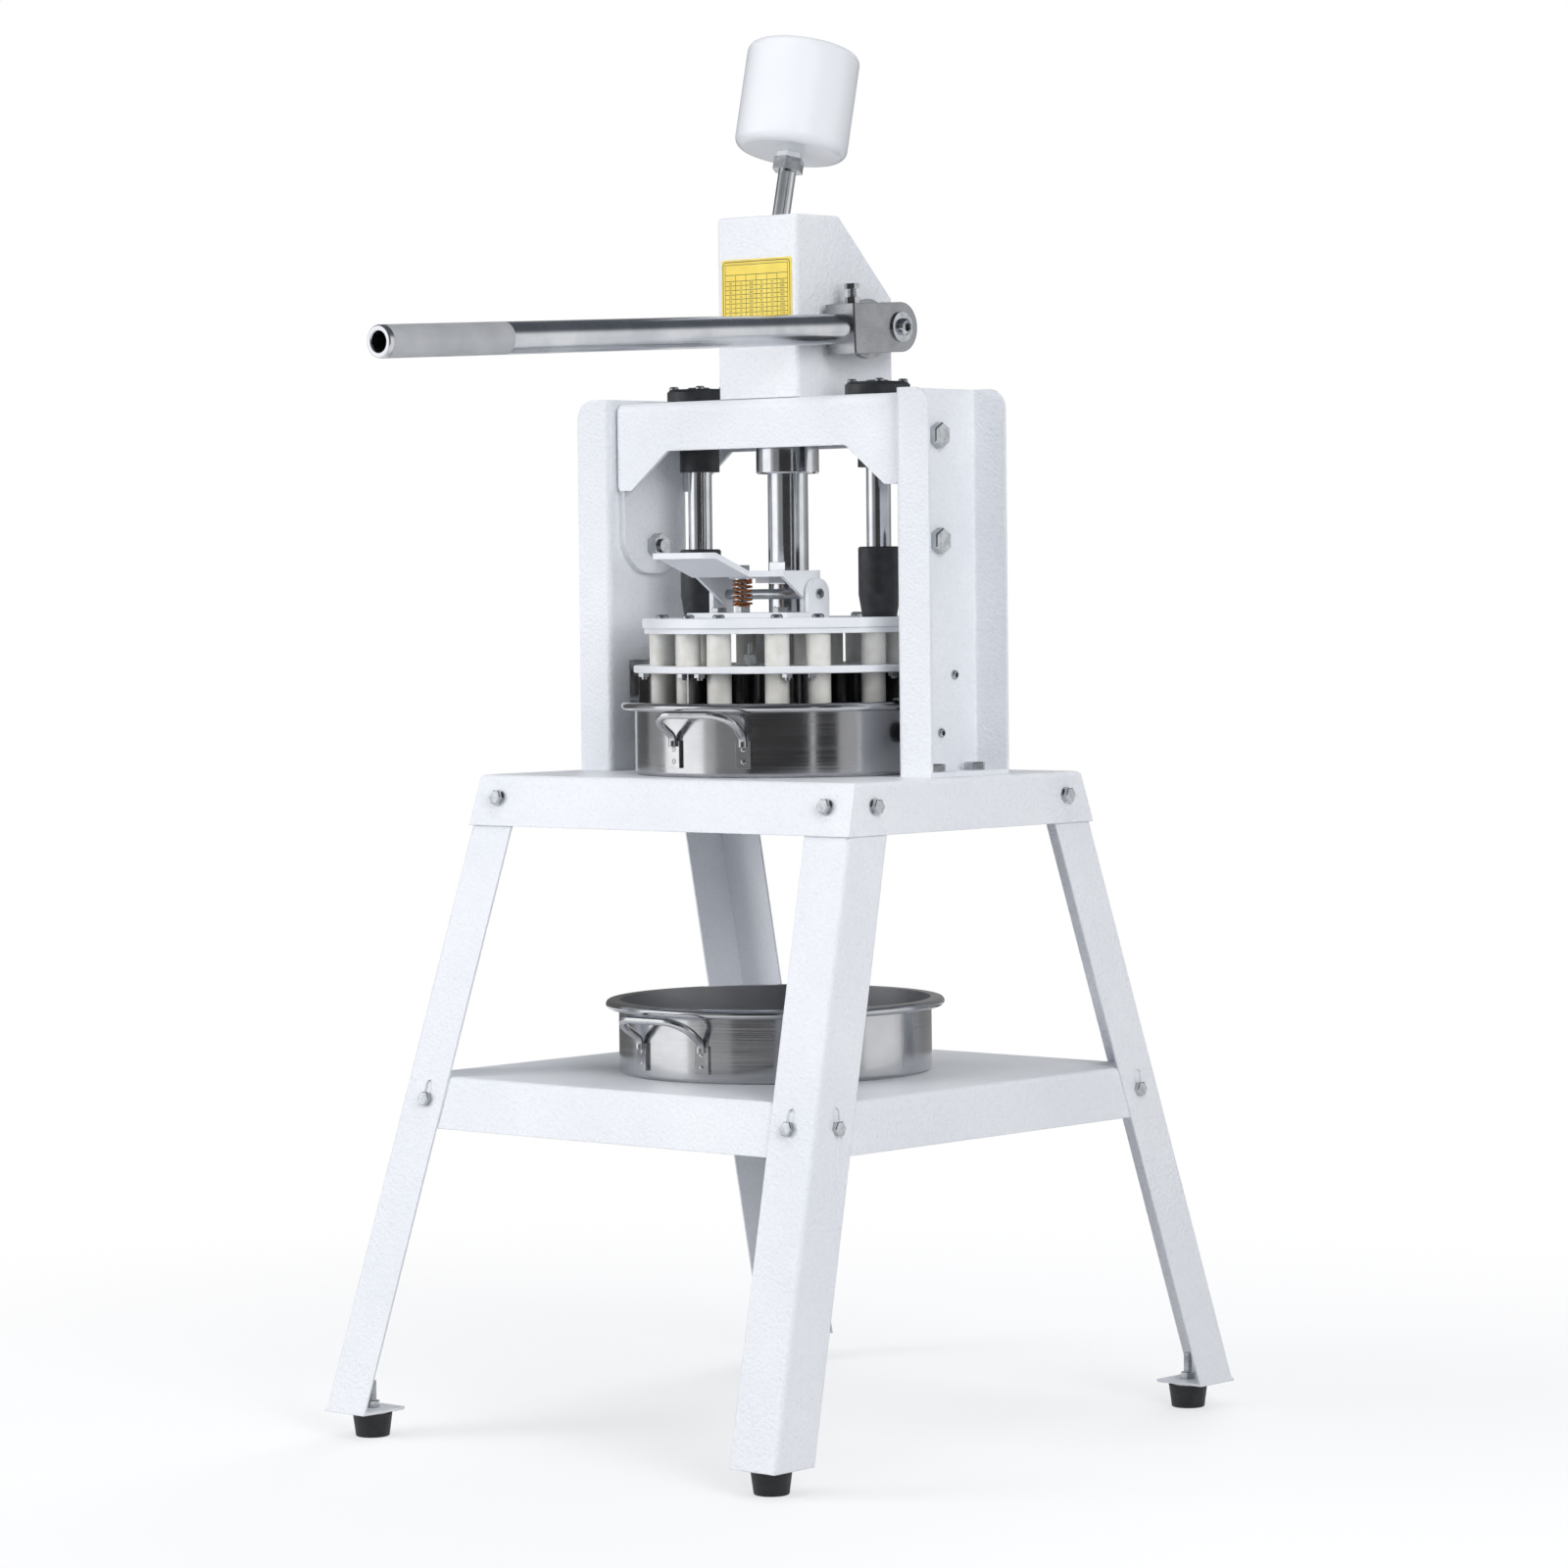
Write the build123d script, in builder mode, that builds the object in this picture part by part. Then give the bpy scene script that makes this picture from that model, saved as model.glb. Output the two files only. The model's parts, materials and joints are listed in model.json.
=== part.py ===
from build123d import *
import os
from math import atan2, ceil, cos, pi, radians, sin, sqrt, tan

os.makedirs("parts", exist_ok=True)

# Clearances
seat_gap = 0.02      # between solids of one group that rest on each other
thread_gap = 0.05    # radial, between a nut and its bolt
running_gap = 0.05   # radial, between a sliding or turning rod and its bore
hole_gap = 0.5       # radial, between a bolt and its through hole

# Stand
table_height = 646.0
table_width = 500.0      # across the lower edge of the skirt
table_depth = 369.0
skirt_height = 50.0
stand_sheet = 2.0
splay_ratio_x = 0.083    # sideways spread of the legs per unit of height
splay_ratio_y = 0.2926
tray_round = 5.0
leg_flange = 55.0
leg_bend = 4.0
leg_bottom = 25.0
foot_tab = 3.0
foot_inset = 33.0
foot_top_diameter = 39.0
foot_low_diameter = 33.0
foot_disc = 2.5
foot_disc_inset = 3.0
foot_pad_round = 1.5
stud_stick_out = 20.0
shelf_height = 351.5
stand_bolt_inset = 32.0
stand_bolt_drop = 23.0
leg_slot_rise = 15.0

# Fasteners: thread, width over the flats, head height, nut height
m8 = (8.0, 13.0, 5.3, 6.5)
m12 = (12.0, 19.0, 7.5, 10.0)
m14 = (14.0, 22.0, 8.8, 11.0)
m6 = (6.0, 10.0, 4.0, 5.0)
washer_sheet = 1.6
washer_diameter = 16.5

# Press frame; the ram's axis stands behind the middle of the table
press_y = 18.0
frame_inset = 19.0       # from the lower edge of the skirt to the flanges of the upright
upright_flange = 42.0
upright_depth = 118.0
upright_sheet = 3.0
upright_lip = 4.0        # above the crosshead
upright_corner = 20.0
base_plate = 5.0
base_bolt_spread = 60.0
frame_rise = 370.0       # from the table to the top of the crosshead
head_plate = 8.0
apron_reach = 49.0
apron_sheet = 4.0
apron_drop = 49.0
apron_tip_drop = 39.0    # further drop of the two ends
apron_tip_width = 18.0
apron_chamfer = 50.0
apron_round = 5.0
apron_bend = 10.0        # between the top and each apron
end_plate = 8.0
end_plate_reach = 44.0
end_plate_drop = 171.0
end_plate_round = 38.0
head_bolt_drops = (41.0, 143.0)

# Ram and rack
ram_diameter = 40.0
ram_bush_diameter = 62.5
ram_bush_drop = 74.0
ram_stick_out = 106.0    # above the crosshead
bar_chamfer = 1.5
tooth_module = 3.0
pinion_teeth = 28
pinion_width = 26.0
pitch_line = 16.0        # of the rack, behind the ram's axis
pressure_angle = 20.0
backlash = 0.5
stroke_down = 12.0
stroke_up = 64.0
pusher_travel = 12.0

# Shaft, lever and counterweight
shaft_rise = 69.0        # above the crosshead
shaft_diameter = 25.0
bearing_plate = 8.0
bearing_plate_width = 56.0
bearing_diameter = 34.0
bearing_flange = 59.0
bearing_flange_width = 6.5
arm_gap = 3.0            # between a bearing flange and the arm on the shaft
arm_width = 38.0
bracket_sheet = 4.0
bracket_height = 49.0
bracket_length = 70.0
bracket_bend = 2.0
lever_droop = 2.75
lever_length = 698.0
tube_diameter = 30.0
tube_bore = 19.0
tube_wall_end = 15.0     # solid length behind the bore
tube_round = 1.5
spigot_diameter = 20.0
socket_length = 32.0
lock_bolt_reach = 50.0
lock_bolt_stand = 8.0
end_washer_diameter = 30.0
end_washer = 2.5
end_head_diameter = 17.0
end_head = 5.5
end_depth = 20.0
weight_lean = 13.0
weight_hub_diameter = 50.0
weight_hub_chamfer = 2.0
weight_rod_gap = 2.0     # between the rod's foot and the shaft
weight_rod_diameter = 18.0
weight_diameter = 115.0
weight_length = 109.0
weight_round = 10.0
weight_reach = 189.0     # from the shaft to the weight
weight_boss_flats = 24.0
weight_boss = 6.0
weight_nut_flats = 28.0
weight_nut_height = 13.0
weight_socket = 40.0

# Gear cover
cover_width = 105.0
cover_front = 43.0
cover_back = 101.0
cover_height = 179.0
cover_flat_back = 22.0
cover_slope_drop = 78.0
cover_sheet = 2.0
cover_round = 4.0
chart_width = 92.0
chart_height = 66.0
chart_sheet = 0.8
chart_drop = 42.0
chart_round = 3.0

# Guide rods
rod_spacing = 236.0
rod_diameter = 24.0
rod_stick_out = 2.0      # above the bush flange
rod_bush_diameter = 40.0
rod_bush_drop = 70.0
rod_bush_flange = 64.0
rod_bush_flange_height = 13.0
rod_bush_chamfer = 3.0
bush_screw_circle_diameter = 50.0
sleeve_diameter = 41.0
sleeve_low_diameter = 34.0
sleeve_height = 68.5
sleeve_taper = 22.0

# Head discs, columns and pushers
disc_diameter = 292.0
disc_rise = 154.0        # from the table to the top of the upper disc
upper_disc_sheet = 10.0
lower_disc_sheet = 5.0
lower_disc_inset = 2.0
disc_chamfer = 0.8
column_diameter = 24.0
column_circle_diameter = 256.0
column_offset = 13.5     # degrees to each side of a segment's middle
column_gap = 0.6
inner_column_diameter = 20.0
inner_column_circle_diameter = 88.0
inner_column_angle = 30.0
inner_side_angles = (90.0, 270.0)
pusher_height = 18.0
pusher_gap = 1.0
column_screw_diameter = 12.0
column_screw_height = 4.0

# Knife set
knife_plate_diameter = 310.0
knife_plate_sheet = 7.0
knife_plate_drop = 46.5  # from the top of the upper disc
knife_height = 86.5
knife_sheet = 2.0
knife_reach = 150.0
knife_ring_diameter = 140.0
segments = 8
knife_bolt_circle_diameter = 290.0
knife_bolt_offset = 4.35 # degrees to each side of a blade
knife_bolt_stick_out = 2.5
stop_stud_circle_diameter = 236.0
stop_stud_diameter = 5.0
stop_stud_height = 22.0
knurled_nut_diameter = 13.0
knurled_nut_height = 9.0
knurled_nut_rise = 2.0

# Latch
pin_diameter = 10.0
pin_ahead = 30.0         # in front of the ram's axis
pin_rise = 23.0          # above the disc
pin_end = 3.0            # beyond each ear
pin_chamfer = 1.0
latch_base = 5.0
latch_base_half = 66.0
latch_base_front = 78.0
latch_base_back = 16.0
ear_sheet = 5.5
ear_radius = 15.0
ram_clearance = 3.0
cheek_sheet = 4.0
cheek_gap = 2.5
cheek_radius = 11.0
cheek_front = 74.0
pedal_sheet = 6.0
pedal_rise = 40.0        # of the pedal's underside above the disc
pedal_back = 22.0
pedal_neck = 101.0
pedal_slope_front = 149.0
pedal_slope_rise = 18.0
pedal_tip = 163.0
pedal_width = 75.0
pedal_round = 8.0
tongue_sheet = 6.0
tongue_width = 18.0
tongue_back = 17.5
tongue_length = 22.0
notch_gap = 0.3
notch_foot = 1.0
notch_head = 2.5
latch_angle = 12.0
spring_ahead = 69.0
spring_diameter = 20.0   # outside
spring_wire = 2.2
spring_turns = 5
spring_seat_diameter = 26.0
spring_seat_bore = 16.5
spring_seat = 1.5
spring_nut = 6.0
bracket_bolt_half = 40.0
bracket_bolt_ahead = 59.0

# Pans, hold-downs and buffers
pan_diameter = 310.0
pan_height = 72.0
pan_sheet = 1.2
pan_round = 4.0
rim_diameter = 336.0
rim_bead = 8.5
upper_pan_turn = 10.0
lower_pan_y = -9.0
handle_wire = 8.0
handle_half = 45.0
handle_leg_half = 40.0
handle_reach = 32.0
handle_rise = 62.0
handle_bend_rise = 40.0
handle_foot_rise = 30.0
handle_bend = 9.0
handle_round = 21.0      # of the two front corners of the handle
strap_width = 15.0       # the flattened end of the wire
strap_height = 27.0
strap_sheet = 3.0
strap_rise = 9.0
hold_down_sheet = 2.0
hold_down_height = 38.0
hold_down_length = 62.0
hold_down_rim_gap = 1.5
hold_down_cover = 8.0    # overlap with the rim
hold_down_screw_spread = 48.0
hold_down_screw_rise = 23.5
buffer_diameter = 20.0
buffer_gap = 1.5
buffer_rise = 41.0
buffer_y = 3.0
buffer_round = 2.0
small_screw = 5.0
small_head_diameter = 9.5
small_head = 3.0

# Sizes that follow from those above
skirt_low = table_height - skirt_height
frame_half = table_width / 2 - frame_inset
head_top = table_height + frame_rise
upright_height = frame_rise + upright_lip
disc_top = table_height + disc_rise
leg_top = table_height - stand_sheet
web_inner = frame_half - upright_flange
web_outer = web_inner + upright_sheet
pitch_radius = tooth_module * pinion_teeth / 2
pitch = pi * tooth_module
shaft_y = press_y + pitch_line + pitch_radius
shaft_z = head_top + shaft_rise
disc_low = disc_top - upper_disc_sheet - lower_disc_sheet
plate_top = disc_top - knife_plate_drop
plate_low = plate_top - knife_plate_sheet
knife_low = plate_low - knife_height
pin_y = press_y - pin_ahead
pin_z = disc_top + pin_rise
pedal_low = disc_top + pedal_rise
pedal_top = pedal_low + pedal_sheet
cover_half = cover_width / 2
arm_inner = cover_half + bearing_flange_width + arm_gap
arm_outer = arm_inner + arm_width
rod_x = rod_spacing / 2
ram_radius = ram_diameter / 2


def keep(piece, name):
    piece.part.label = name
    export_step(piece.part, f"parts/{name}.step")


def half_plan(z, inset):
    grow = skirt_low - z
    return table_width / 2 + splay_ratio_x * grow - inset, table_depth / 2 + splay_ratio_y * grow - inset


def tapered_block(low, high, inset):
    with BuildPart() as block:
        for z in (low, high):
            half_x, half_y = half_plan(z, inset)
            with BuildSketch(Plane.XY.offset(z)):
                Rectangle(2 * half_x, 2 * half_y)
        loft(ruled=True)
    return block.part


def face_planes(side_x, side_y, z, inset):
    half_x, half_y = half_plan(z, inset)
    spots = (
        ((side_x * (half_x - stand_bolt_inset), side_y * half_y, z), (0, side_y, splay_ratio_y)),
        ((side_x * half_x, side_y * (half_y - stand_bolt_inset), z), (side_x, 0, splay_ratio_x)),
    )
    planes = []
    for spot, normal in spots:
        across = Vector(0, 0, 1).cross(Vector(*normal))
        planes.append(Plane(origin=spot, x_dir=across, z_dir=normal))
    return planes


def hex_bolt(size, grip, washer=0.0, washer_size=0.0, nut=True):
    thread, flats, head, nut_height = size
    seat = washer + seat_gap if washer else 0.0
    with BuildPart() as bolt:
        with BuildSketch(Plane.XY.offset(seat)):
            RegularPolygon(flats / 2, 6, major_radius=False)
        extrude(amount=head)
        chamfer(bolt.faces().sort_by(Axis.Z)[-1].edges(), thread * 0.08)
        with BuildSketch(Plane.XY.offset(seat)):
            Circle(thread / 2)
        extrude(amount=-(seat + grip + (nut_height + thread * 0.25 if nut else 0.0)))
        if washer:
            with BuildSketch():
                Circle(washer_size / 2)
                Circle(thread / 2 + thread_gap, mode=Mode.SUBTRACT)
            extrude(amount=washer)
        if nut:
            with BuildSketch(Plane.XY.offset(-grip)):
                RegularPolygon(flats / 2, 6, major_radius=False)
                Circle(thread / 2 + thread_gap, mode=Mode.SUBTRACT)
            extrude(amount=-nut_height)
    return bolt.part


def button_screw(diameter, head, thread, length, washer=0.0, washer_size=0.0):
    seat = washer + seat_gap if washer else 0.0
    with BuildPart() as screw:
        with BuildSketch(Plane.XY.offset(seat)):
            Circle(diameter / 2)
        extrude(amount=head)
        fillet(screw.edges().group_by(Axis.Z)[-1], head * 0.7)
        with BuildSketch(Plane.XY.offset(seat + head)):
            RegularPolygon(diameter * 0.26, 6, major_radius=False)
        extrude(amount=-head * 0.6, mode=Mode.SUBTRACT)
        with BuildSketch(Plane.XY.offset(seat)):
            Circle(thread / 2)
        extrude(amount=-(seat + length))
        if washer:
            with BuildSketch():
                Circle(washer_size / 2)
                Circle(thread / 2 + thread_gap, mode=Mode.SUBTRACT)
            extrude(amount=washer)
    return screw.part


def rounded_path(points, radii):
    start = points[0]
    for before, corner, after, radius in zip(points, points[1:], points[2:], radii):
        into = (corner - before).normalized()
        out = (after - corner).normalized()
        cut = radius * tan(radians(into.get_angle(out)) / 2)
        entry = corner - into * cut
        leave = corner + out * cut
        Line(start, entry)
        TangentArc(entry, leave, tangent=into)
        start = leave
    Line(start, points[-1])


corners = {
    "front_left": (-1, -1),
    "front_right": (1, -1),
    "rear_left": (-1, 1),
    "rear_right": (1, 1),
}
table_bolt_z = table_height - stand_bolt_drop
shelf_bolt_z = shelf_height - stand_bolt_drop
table_planes = {}
shelf_planes = {}
for name, (side_x, side_y) in corners.items():
    table_planes[name] = face_planes(side_x, side_y, table_bolt_z, 0.0)
    shelf_planes[name] = face_planes(side_x, side_y, shelf_bolt_z, stand_sheet)
bolt_hole = m8[0] / 2 + hole_gap
hole_depth = 5 * stand_sheet
foot_x, foot_y = half_plan(leg_bottom, stand_sheet + foot_inset)
foot_spots = [(side_x * foot_x, side_y * foot_y) for side_x, side_y in corners.values()]


def upright_spots(sides=(-1, 1)):
    x = (web_outer + frame_half) / 2
    return [(s * x, press_y + t * base_bolt_spread / 2) for s in sides for t in (-1, 1)]


def tray(top, skirt, inset):
    with BuildPart() as shell:
        add(tapered_block(top - skirt, top, inset))
        fillet(shell.faces().sort_by(Axis.Z)[-1].edges(), tray_round)
        low = top - skirt - stand_sheet
        add(tapered_block(low, top - stand_sheet, inset + stand_sheet), mode=Mode.SUBTRACT)
    return shell.part


with BuildPart() as table_top:
    add(tray(table_height, skirt_height, 0.0))
    with Locations(*[plane for planes in table_planes.values() for plane in planes]):
        Hole(bolt_hole, hole_depth)
    with Locations(*[(x, y, table_height) for x, y in upright_spots()]):
        Hole(m12[0] / 2 + hole_gap, 2 * stand_sheet)
keep(table_top, "table_top")

with BuildPart() as shelf:
    add(tray(shelf_height, skirt_height, 2 * stand_sheet))
    with Locations(*[plane for planes in shelf_planes.values() for plane in planes]):
        Hole(bolt_hole, hole_depth)
keep(shelf, "shelf")

for name, (side_x, side_y) in corners.items():
    low_x, low_y = half_plan(leg_bottom, stand_sheet)
    with BuildPart() as leg:
        with BuildSketch(Plane.XY.offset(leg_bottom)) as angle:
            with BuildLine():
                Polyline(
                    (side_x * low_x, side_y * low_y),
                    (side_x * (low_x - leg_flange), side_y * low_y),
                    (side_x * (low_x - leg_flange), side_y * (low_y - stand_sheet)),
                    (side_x * (low_x - stand_sheet), side_y * (low_y - stand_sheet)),
                    (side_x * (low_x - stand_sheet), side_y * (low_y - leg_flange)),
                    (side_x * low_x, side_y * (low_y - leg_flange)),
                    close=True,
                )
            make_face()
            fillet(angle.vertices().sort_by_distance((side_x * low_x, side_y * low_y))[0], leg_bend)
        along = Vector(-side_x * splay_ratio_x, -side_y * splay_ratio_y, 1) * (leg_top - leg_bottom)
        extrude(amount=along.length, dir=along.normalized())
        with BuildSketch(Plane.XY.offset(leg_bottom)):
            middle = leg_flange / 2
            with Locations((side_x * (low_x - middle), side_y * (low_y - middle))):
                Rectangle(leg_flange, leg_flange)
        slant = Vector(-side_x * splay_ratio_x, -side_y * splay_ratio_y, 1) * foot_tab
        extrude(amount=slant.length, dir=slant.normalized())
        with Locations((side_x * foot_x, side_y * foot_y, leg_bottom + foot_tab)):
            Hole(m8[0] / 2 + hole_gap, 2 * foot_tab)
        with Locations(*table_planes[name]):
            Hole(bolt_hole, hole_depth)
        for plane in shelf_planes[name]:
            with BuildSketch(plane):
                with Locations((0, leg_slot_rise / 2)):
                    SlotCenterToCenter(leg_slot_rise, 2 * bolt_hole, rotation=90)
            extrude(amount=-hole_depth, mode=Mode.SUBTRACT)
    keep(leg, f"leg_{name}")

grip_y = 2 * stand_sheet * cos(atan2(splay_ratio_y, 1))
grip_x = 2 * stand_sheet * cos(atan2(splay_ratio_x, 1))
with BuildPart() as stand_bolts:
    for planes in table_planes.values():
        for plane, grip in zip(planes, (grip_y, grip_x)):
            with Locations(plane):
                add(hex_bolt(m8, grip, washer_sheet, washer_diameter))
    for planes in shelf_planes.values():
        for plane, grip in zip(planes, (grip_y, grip_x)):
            with Locations(plane):
                add(hex_bolt(m8, grip))
keep(stand_bolts, "stand_bolts")

foot_height = leg_bottom - foot_disc
stud_depth = foot_height * 0.6
with BuildPart() as foot_pads:
    with Locations(*[(x, y, foot_height / 2) for x, y in foot_spots]):
        Cone(foot_low_diameter / 2, foot_top_diameter / 2, foot_height)
    fillet(foot_pads.edges().group_by(Axis.Z)[0], foot_pad_round)
    with Locations(*[(x, y, foot_height) for x, y in foot_spots]):
        Hole(m8[0] / 2, stud_depth)
keep(foot_pads, "foot_pads")

with BuildPart() as foot_stud:
    with BuildSketch(Plane.XY.offset(foot_height - stud_depth)):
        Circle(m8[0] / 2)
    extrude(amount=stud_depth + foot_disc + foot_tab + m8[3] + stud_stick_out)
    with BuildSketch(Plane.XY.offset(foot_height)):
        Circle(foot_top_diameter / 2 - foot_disc_inset)
    extrude(amount=foot_disc)
    with BuildSketch(Plane.XY.offset(leg_bottom + foot_tab)):
        RegularPolygon(m8[1] / 2, 6, major_radius=False)
        Circle(m8[0] / 2 + thread_gap, mode=Mode.SUBTRACT)
    extrude(amount=m8[3])
with BuildPart() as foot_studs:
    with Locations(*foot_spots):
        add(foot_stud.part)
keep(foot_studs, "foot_studs")

half_depth = upright_depth / 2
with BuildPart() as right_upright:
    with BuildSketch(Plane.XY.offset(table_height)) as channel:
        with Locations((web_inner + upright_flange / 2, press_y)):
            Rectangle(upright_flange, upright_depth)
        with Locations((web_outer + upright_flange / 2, press_y)):
            Rectangle(upright_flange, upright_depth - 2 * upright_sheet, mode=Mode.SUBTRACT)
        fillet(channel.vertices().group_by(Axis.X)[1], upright_sheet)
        fillet(channel.vertices().group_by(Axis.X)[0], 2 * upright_sheet)
    extrude(amount=upright_height)
    top_edges = right_upright.edges().filter_by(Axis.Y).group_by(Axis.Z)[-1]
    fillet(top_edges.group_by(Axis.X)[-1], upright_corner)
    with BuildSketch(Plane.XY.offset(table_height)):
        with Locations(((web_outer + frame_half) / 2, press_y)):
            Rectangle(frame_half - web_outer, upright_depth - 2 * upright_sheet)
    extrude(amount=base_plate)
    with Locations(*[(x, y, table_height + base_plate) for x, y in upright_spots((1,))]):
        Hole(m12[0] / 2 + hole_gap, 2 * base_plate)
    for drop in head_bolt_drops:
        with Locations(Plane((web_outer, press_y, head_top - drop), z_dir=(1, 0, 0))):
            Hole(m14[0] / 2 + hole_gap, 2 * upright_sheet)
    screw_z = table_height + pan_height + hold_down_rim_gap + hold_down_screw_rise
    screw_spots = [(t * hold_down_screw_spread / 2, screw_z) for t in (-1, 1)]
    screw_spots.append((buffer_y, table_height + buffer_rise))
    for across, z in screw_spots:
        with Locations(Plane((web_outer, press_y + across, z), z_dir=(1, 0, 0))):
            Hole(small_screw / 2 + hole_gap, 2 * upright_sheet)
keep(right_upright, "right_upright")

with BuildPart() as left_upright:
    mirror(right_upright.part, about=Plane.YZ)
keep(left_upright, "left_upright")

with BuildPart() as upright_bolts:
    with Locations(*[(x, y, table_height + base_plate) for x, y in upright_spots()]):
        add(hex_bolt(m12, base_plate + stand_sheet))
keep(upright_bolts, "upright_bolts")

bush_spots = [(side * rod_x, press_y) for side in (-1, 1)]
screw_angles = (45, 135, 225, 315)
bush_screw_spots = []
for centre_x, centre_y in bush_spots:
    for angle in screw_angles:
        reach = bush_screw_circle_diameter / 2
        turn = radians(angle)
        bush_screw_spots.append((centre_x + reach * cos(turn), centre_y + reach * sin(turn)))
head_bolt_planes = []
for side in (-1, 1):
    for drop in head_bolt_drops:
        spot = (side * web_outer, press_y, head_top - drop)
        head_bolt_planes.append(Plane(spot, z_dir=(side, 0, 0)))
apron_half = web_inner - end_plate / 2
apron_low = head_top - apron_drop
tip_inner = apron_half - apron_tip_width
with BuildPart() as crosshead:
    with BuildSketch(Plane.XY.offset(head_top)):
        with Locations((0, press_y)):
            Rectangle(2 * apron_half, 2 * apron_reach)
    extrude(amount=-head_plate)
    for side in (-1, 1):
        with BuildSketch(Plane.XZ.offset(-(press_y + side * apron_reach))) as apron:
            with BuildLine():
                Polyline(
                    (-apron_half, head_top),
                    (-apron_half, apron_low - apron_tip_drop),
                    (-tip_inner, apron_low - apron_tip_drop),
                    (apron_chamfer - tip_inner, apron_low),
                    (tip_inner - apron_chamfer, apron_low),
                    (tip_inner, apron_low - apron_tip_drop),
                    (apron_half, apron_low - apron_tip_drop),
                    (apron_half, head_top),
                    close=True,
                )
            make_face()
            fillet(apron.vertices().group_by(Axis.Y)[0], apron_round)
        extrude(amount=side * apron_sheet)
    long_edges = crosshead.edges().filter_by(Axis.X).group_by(Axis.Z)[-1]
    fillet([long_edges.sort_by(Axis.Y)[0], long_edges.sort_by(Axis.Y)[-1]], apron_bend)
    for side in (-1, 1):
        with BuildSketch(Plane.YZ.offset(side * web_inner)) as end:
            with Locations((press_y, head_top - end_plate_drop / 2)):
                Rectangle(2 * end_plate_reach, end_plate_drop)
            fillet(end.vertices().group_by(Axis.Y)[0], end_plate_round)
            fillet(end.vertices().group_by(Axis.Y)[-1], apron_bend)
        extrude(amount=-side * end_plate)
    with Locations((0, press_y, head_top)):
        Hole(ram_radius + hole_gap, 2 * head_plate)
    with Locations(*[(x, y, head_top) for x, y in bush_spots]):
        Hole(rod_bush_diameter / 2 + hole_gap, 2 * head_plate)
    with Locations(*[(x, y, head_top) for x, y in bush_screw_spots]):
        Hole(small_screw / 2 + thread_gap, 2 * head_plate)
    with Locations(*head_bolt_planes):
        Hole(m14[0] / 2 + hole_gap, 2 * (end_plate + upright_sheet))
keep(crosshead, "crosshead")

with BuildPart() as crosshead_bolts:
    with Locations(*head_bolt_planes):
        add(hex_bolt(m14, end_plate + upright_sheet))
keep(crosshead_bolts, "crosshead_bolts")

with BuildPart() as ram_bush:
    with BuildSketch(Plane.XY.offset(head_top - ram_bush_drop)):
        with Locations((0, press_y)):
            Circle(ram_bush_diameter / 2)
            Circle(ram_radius + running_gap, mode=Mode.SUBTRACT)
    extrude(amount=ram_bush_drop - head_plate)
    chamfer(ram_bush.edges().group_by(Axis.Z)[0].sort_by(SortBy.RADIUS)[-1], bar_chamfer)
keep(ram_bush, "ram_bush")

for name, (centre_x, centre_y) in zip(("left_rod_bush", "right_rod_bush"), bush_spots):
    with BuildPart() as rod_bush:
        with BuildSketch(Plane.XY.offset(head_top)):
            with Locations((centre_x, centre_y)):
                Circle(rod_bush_flange / 2)
        extrude(amount=rod_bush_flange_height)
        chamfer(rod_bush.edges().group_by(Axis.Z)[-1], rod_bush_chamfer)
        with BuildSketch(Plane.XY.offset(head_top)):
            with Locations((centre_x, centre_y)):
                Circle(rod_bush_diameter / 2)
        extrude(amount=-rod_bush_drop)
        with Locations((centre_x, centre_y, head_top + rod_bush_flange_height)):
            Hole(rod_diameter / 2 + running_gap)
        with Locations((centre_x, centre_y, head_top + rod_bush_flange_height)):
            with PolarLocations(bush_screw_circle_diameter / 2, len(screw_angles), screw_angles[0]):
                Hole(small_screw / 2 + thread_gap, rod_bush_flange_height)
    keep(rod_bush, name)

with BuildPart() as bush_screws:
    screw_seat = head_top + rod_bush_flange_height
    with Locations(*[(x, y, screw_seat) for x, y in bush_screw_spots]):
        add(button_screw(small_head_diameter, small_head, small_screw, rod_bush_flange_height + head_plate))
keep(bush_screws, "bush_screws")

cover_top = head_top + cover_height
cover_profile = [
    (press_y - cover_front, head_top),
    (press_y - cover_front, cover_top),
    (press_y + cover_flat_back, cover_top),
    (press_y + cover_back, cover_top - cover_slope_drop),
    (press_y + cover_back, head_top),
]
bearing_planes = []
for side in (-1, 1):
    bearing_planes.append(Plane((side * cover_half, shaft_y, shaft_z), z_dir=(side, 0, 0)))
with BuildPart() as gear_cover:
    with BuildSketch(Plane.YZ.offset(-cover_half)):
        with BuildLine():
            Polyline(*cover_profile, close=True)
        make_face()
    extrude(amount=cover_width)
    fillet(gear_cover.edges() - gear_cover.edges().group_by(Axis.Z)[0], cover_round)
    with BuildSketch(Plane.YZ.offset(cover_sheet - cover_half)):
        with BuildLine():
            Polyline(*cover_profile, close=True)
        make_face()
        offset(amount=-cover_sheet, kind=Kind.INTERSECTION)
        with Locations((press_y + (cover_back - cover_front) / 2, head_top)):
            Rectangle(cover_front + cover_back - 2 * cover_sheet, 3 * cover_sheet)
    extrude(amount=cover_width - 2 * cover_sheet, mode=Mode.SUBTRACT)
    with Locations(*bearing_planes):
        Hole(bearing_diameter / 2 + hole_gap, 2 * cover_sheet)
keep(gear_cover, "gear_cover")

with BuildPart() as chart_plate:
    with BuildSketch(Plane.XZ.offset(cover_front - press_y)):
        with Locations((0, cover_top - chart_drop - chart_height / 2)):
            RectangleRounded(chart_width, chart_height, chart_round)
    extrude(amount=chart_sheet)
keep(chart_plate, "chart_plate")

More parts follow.
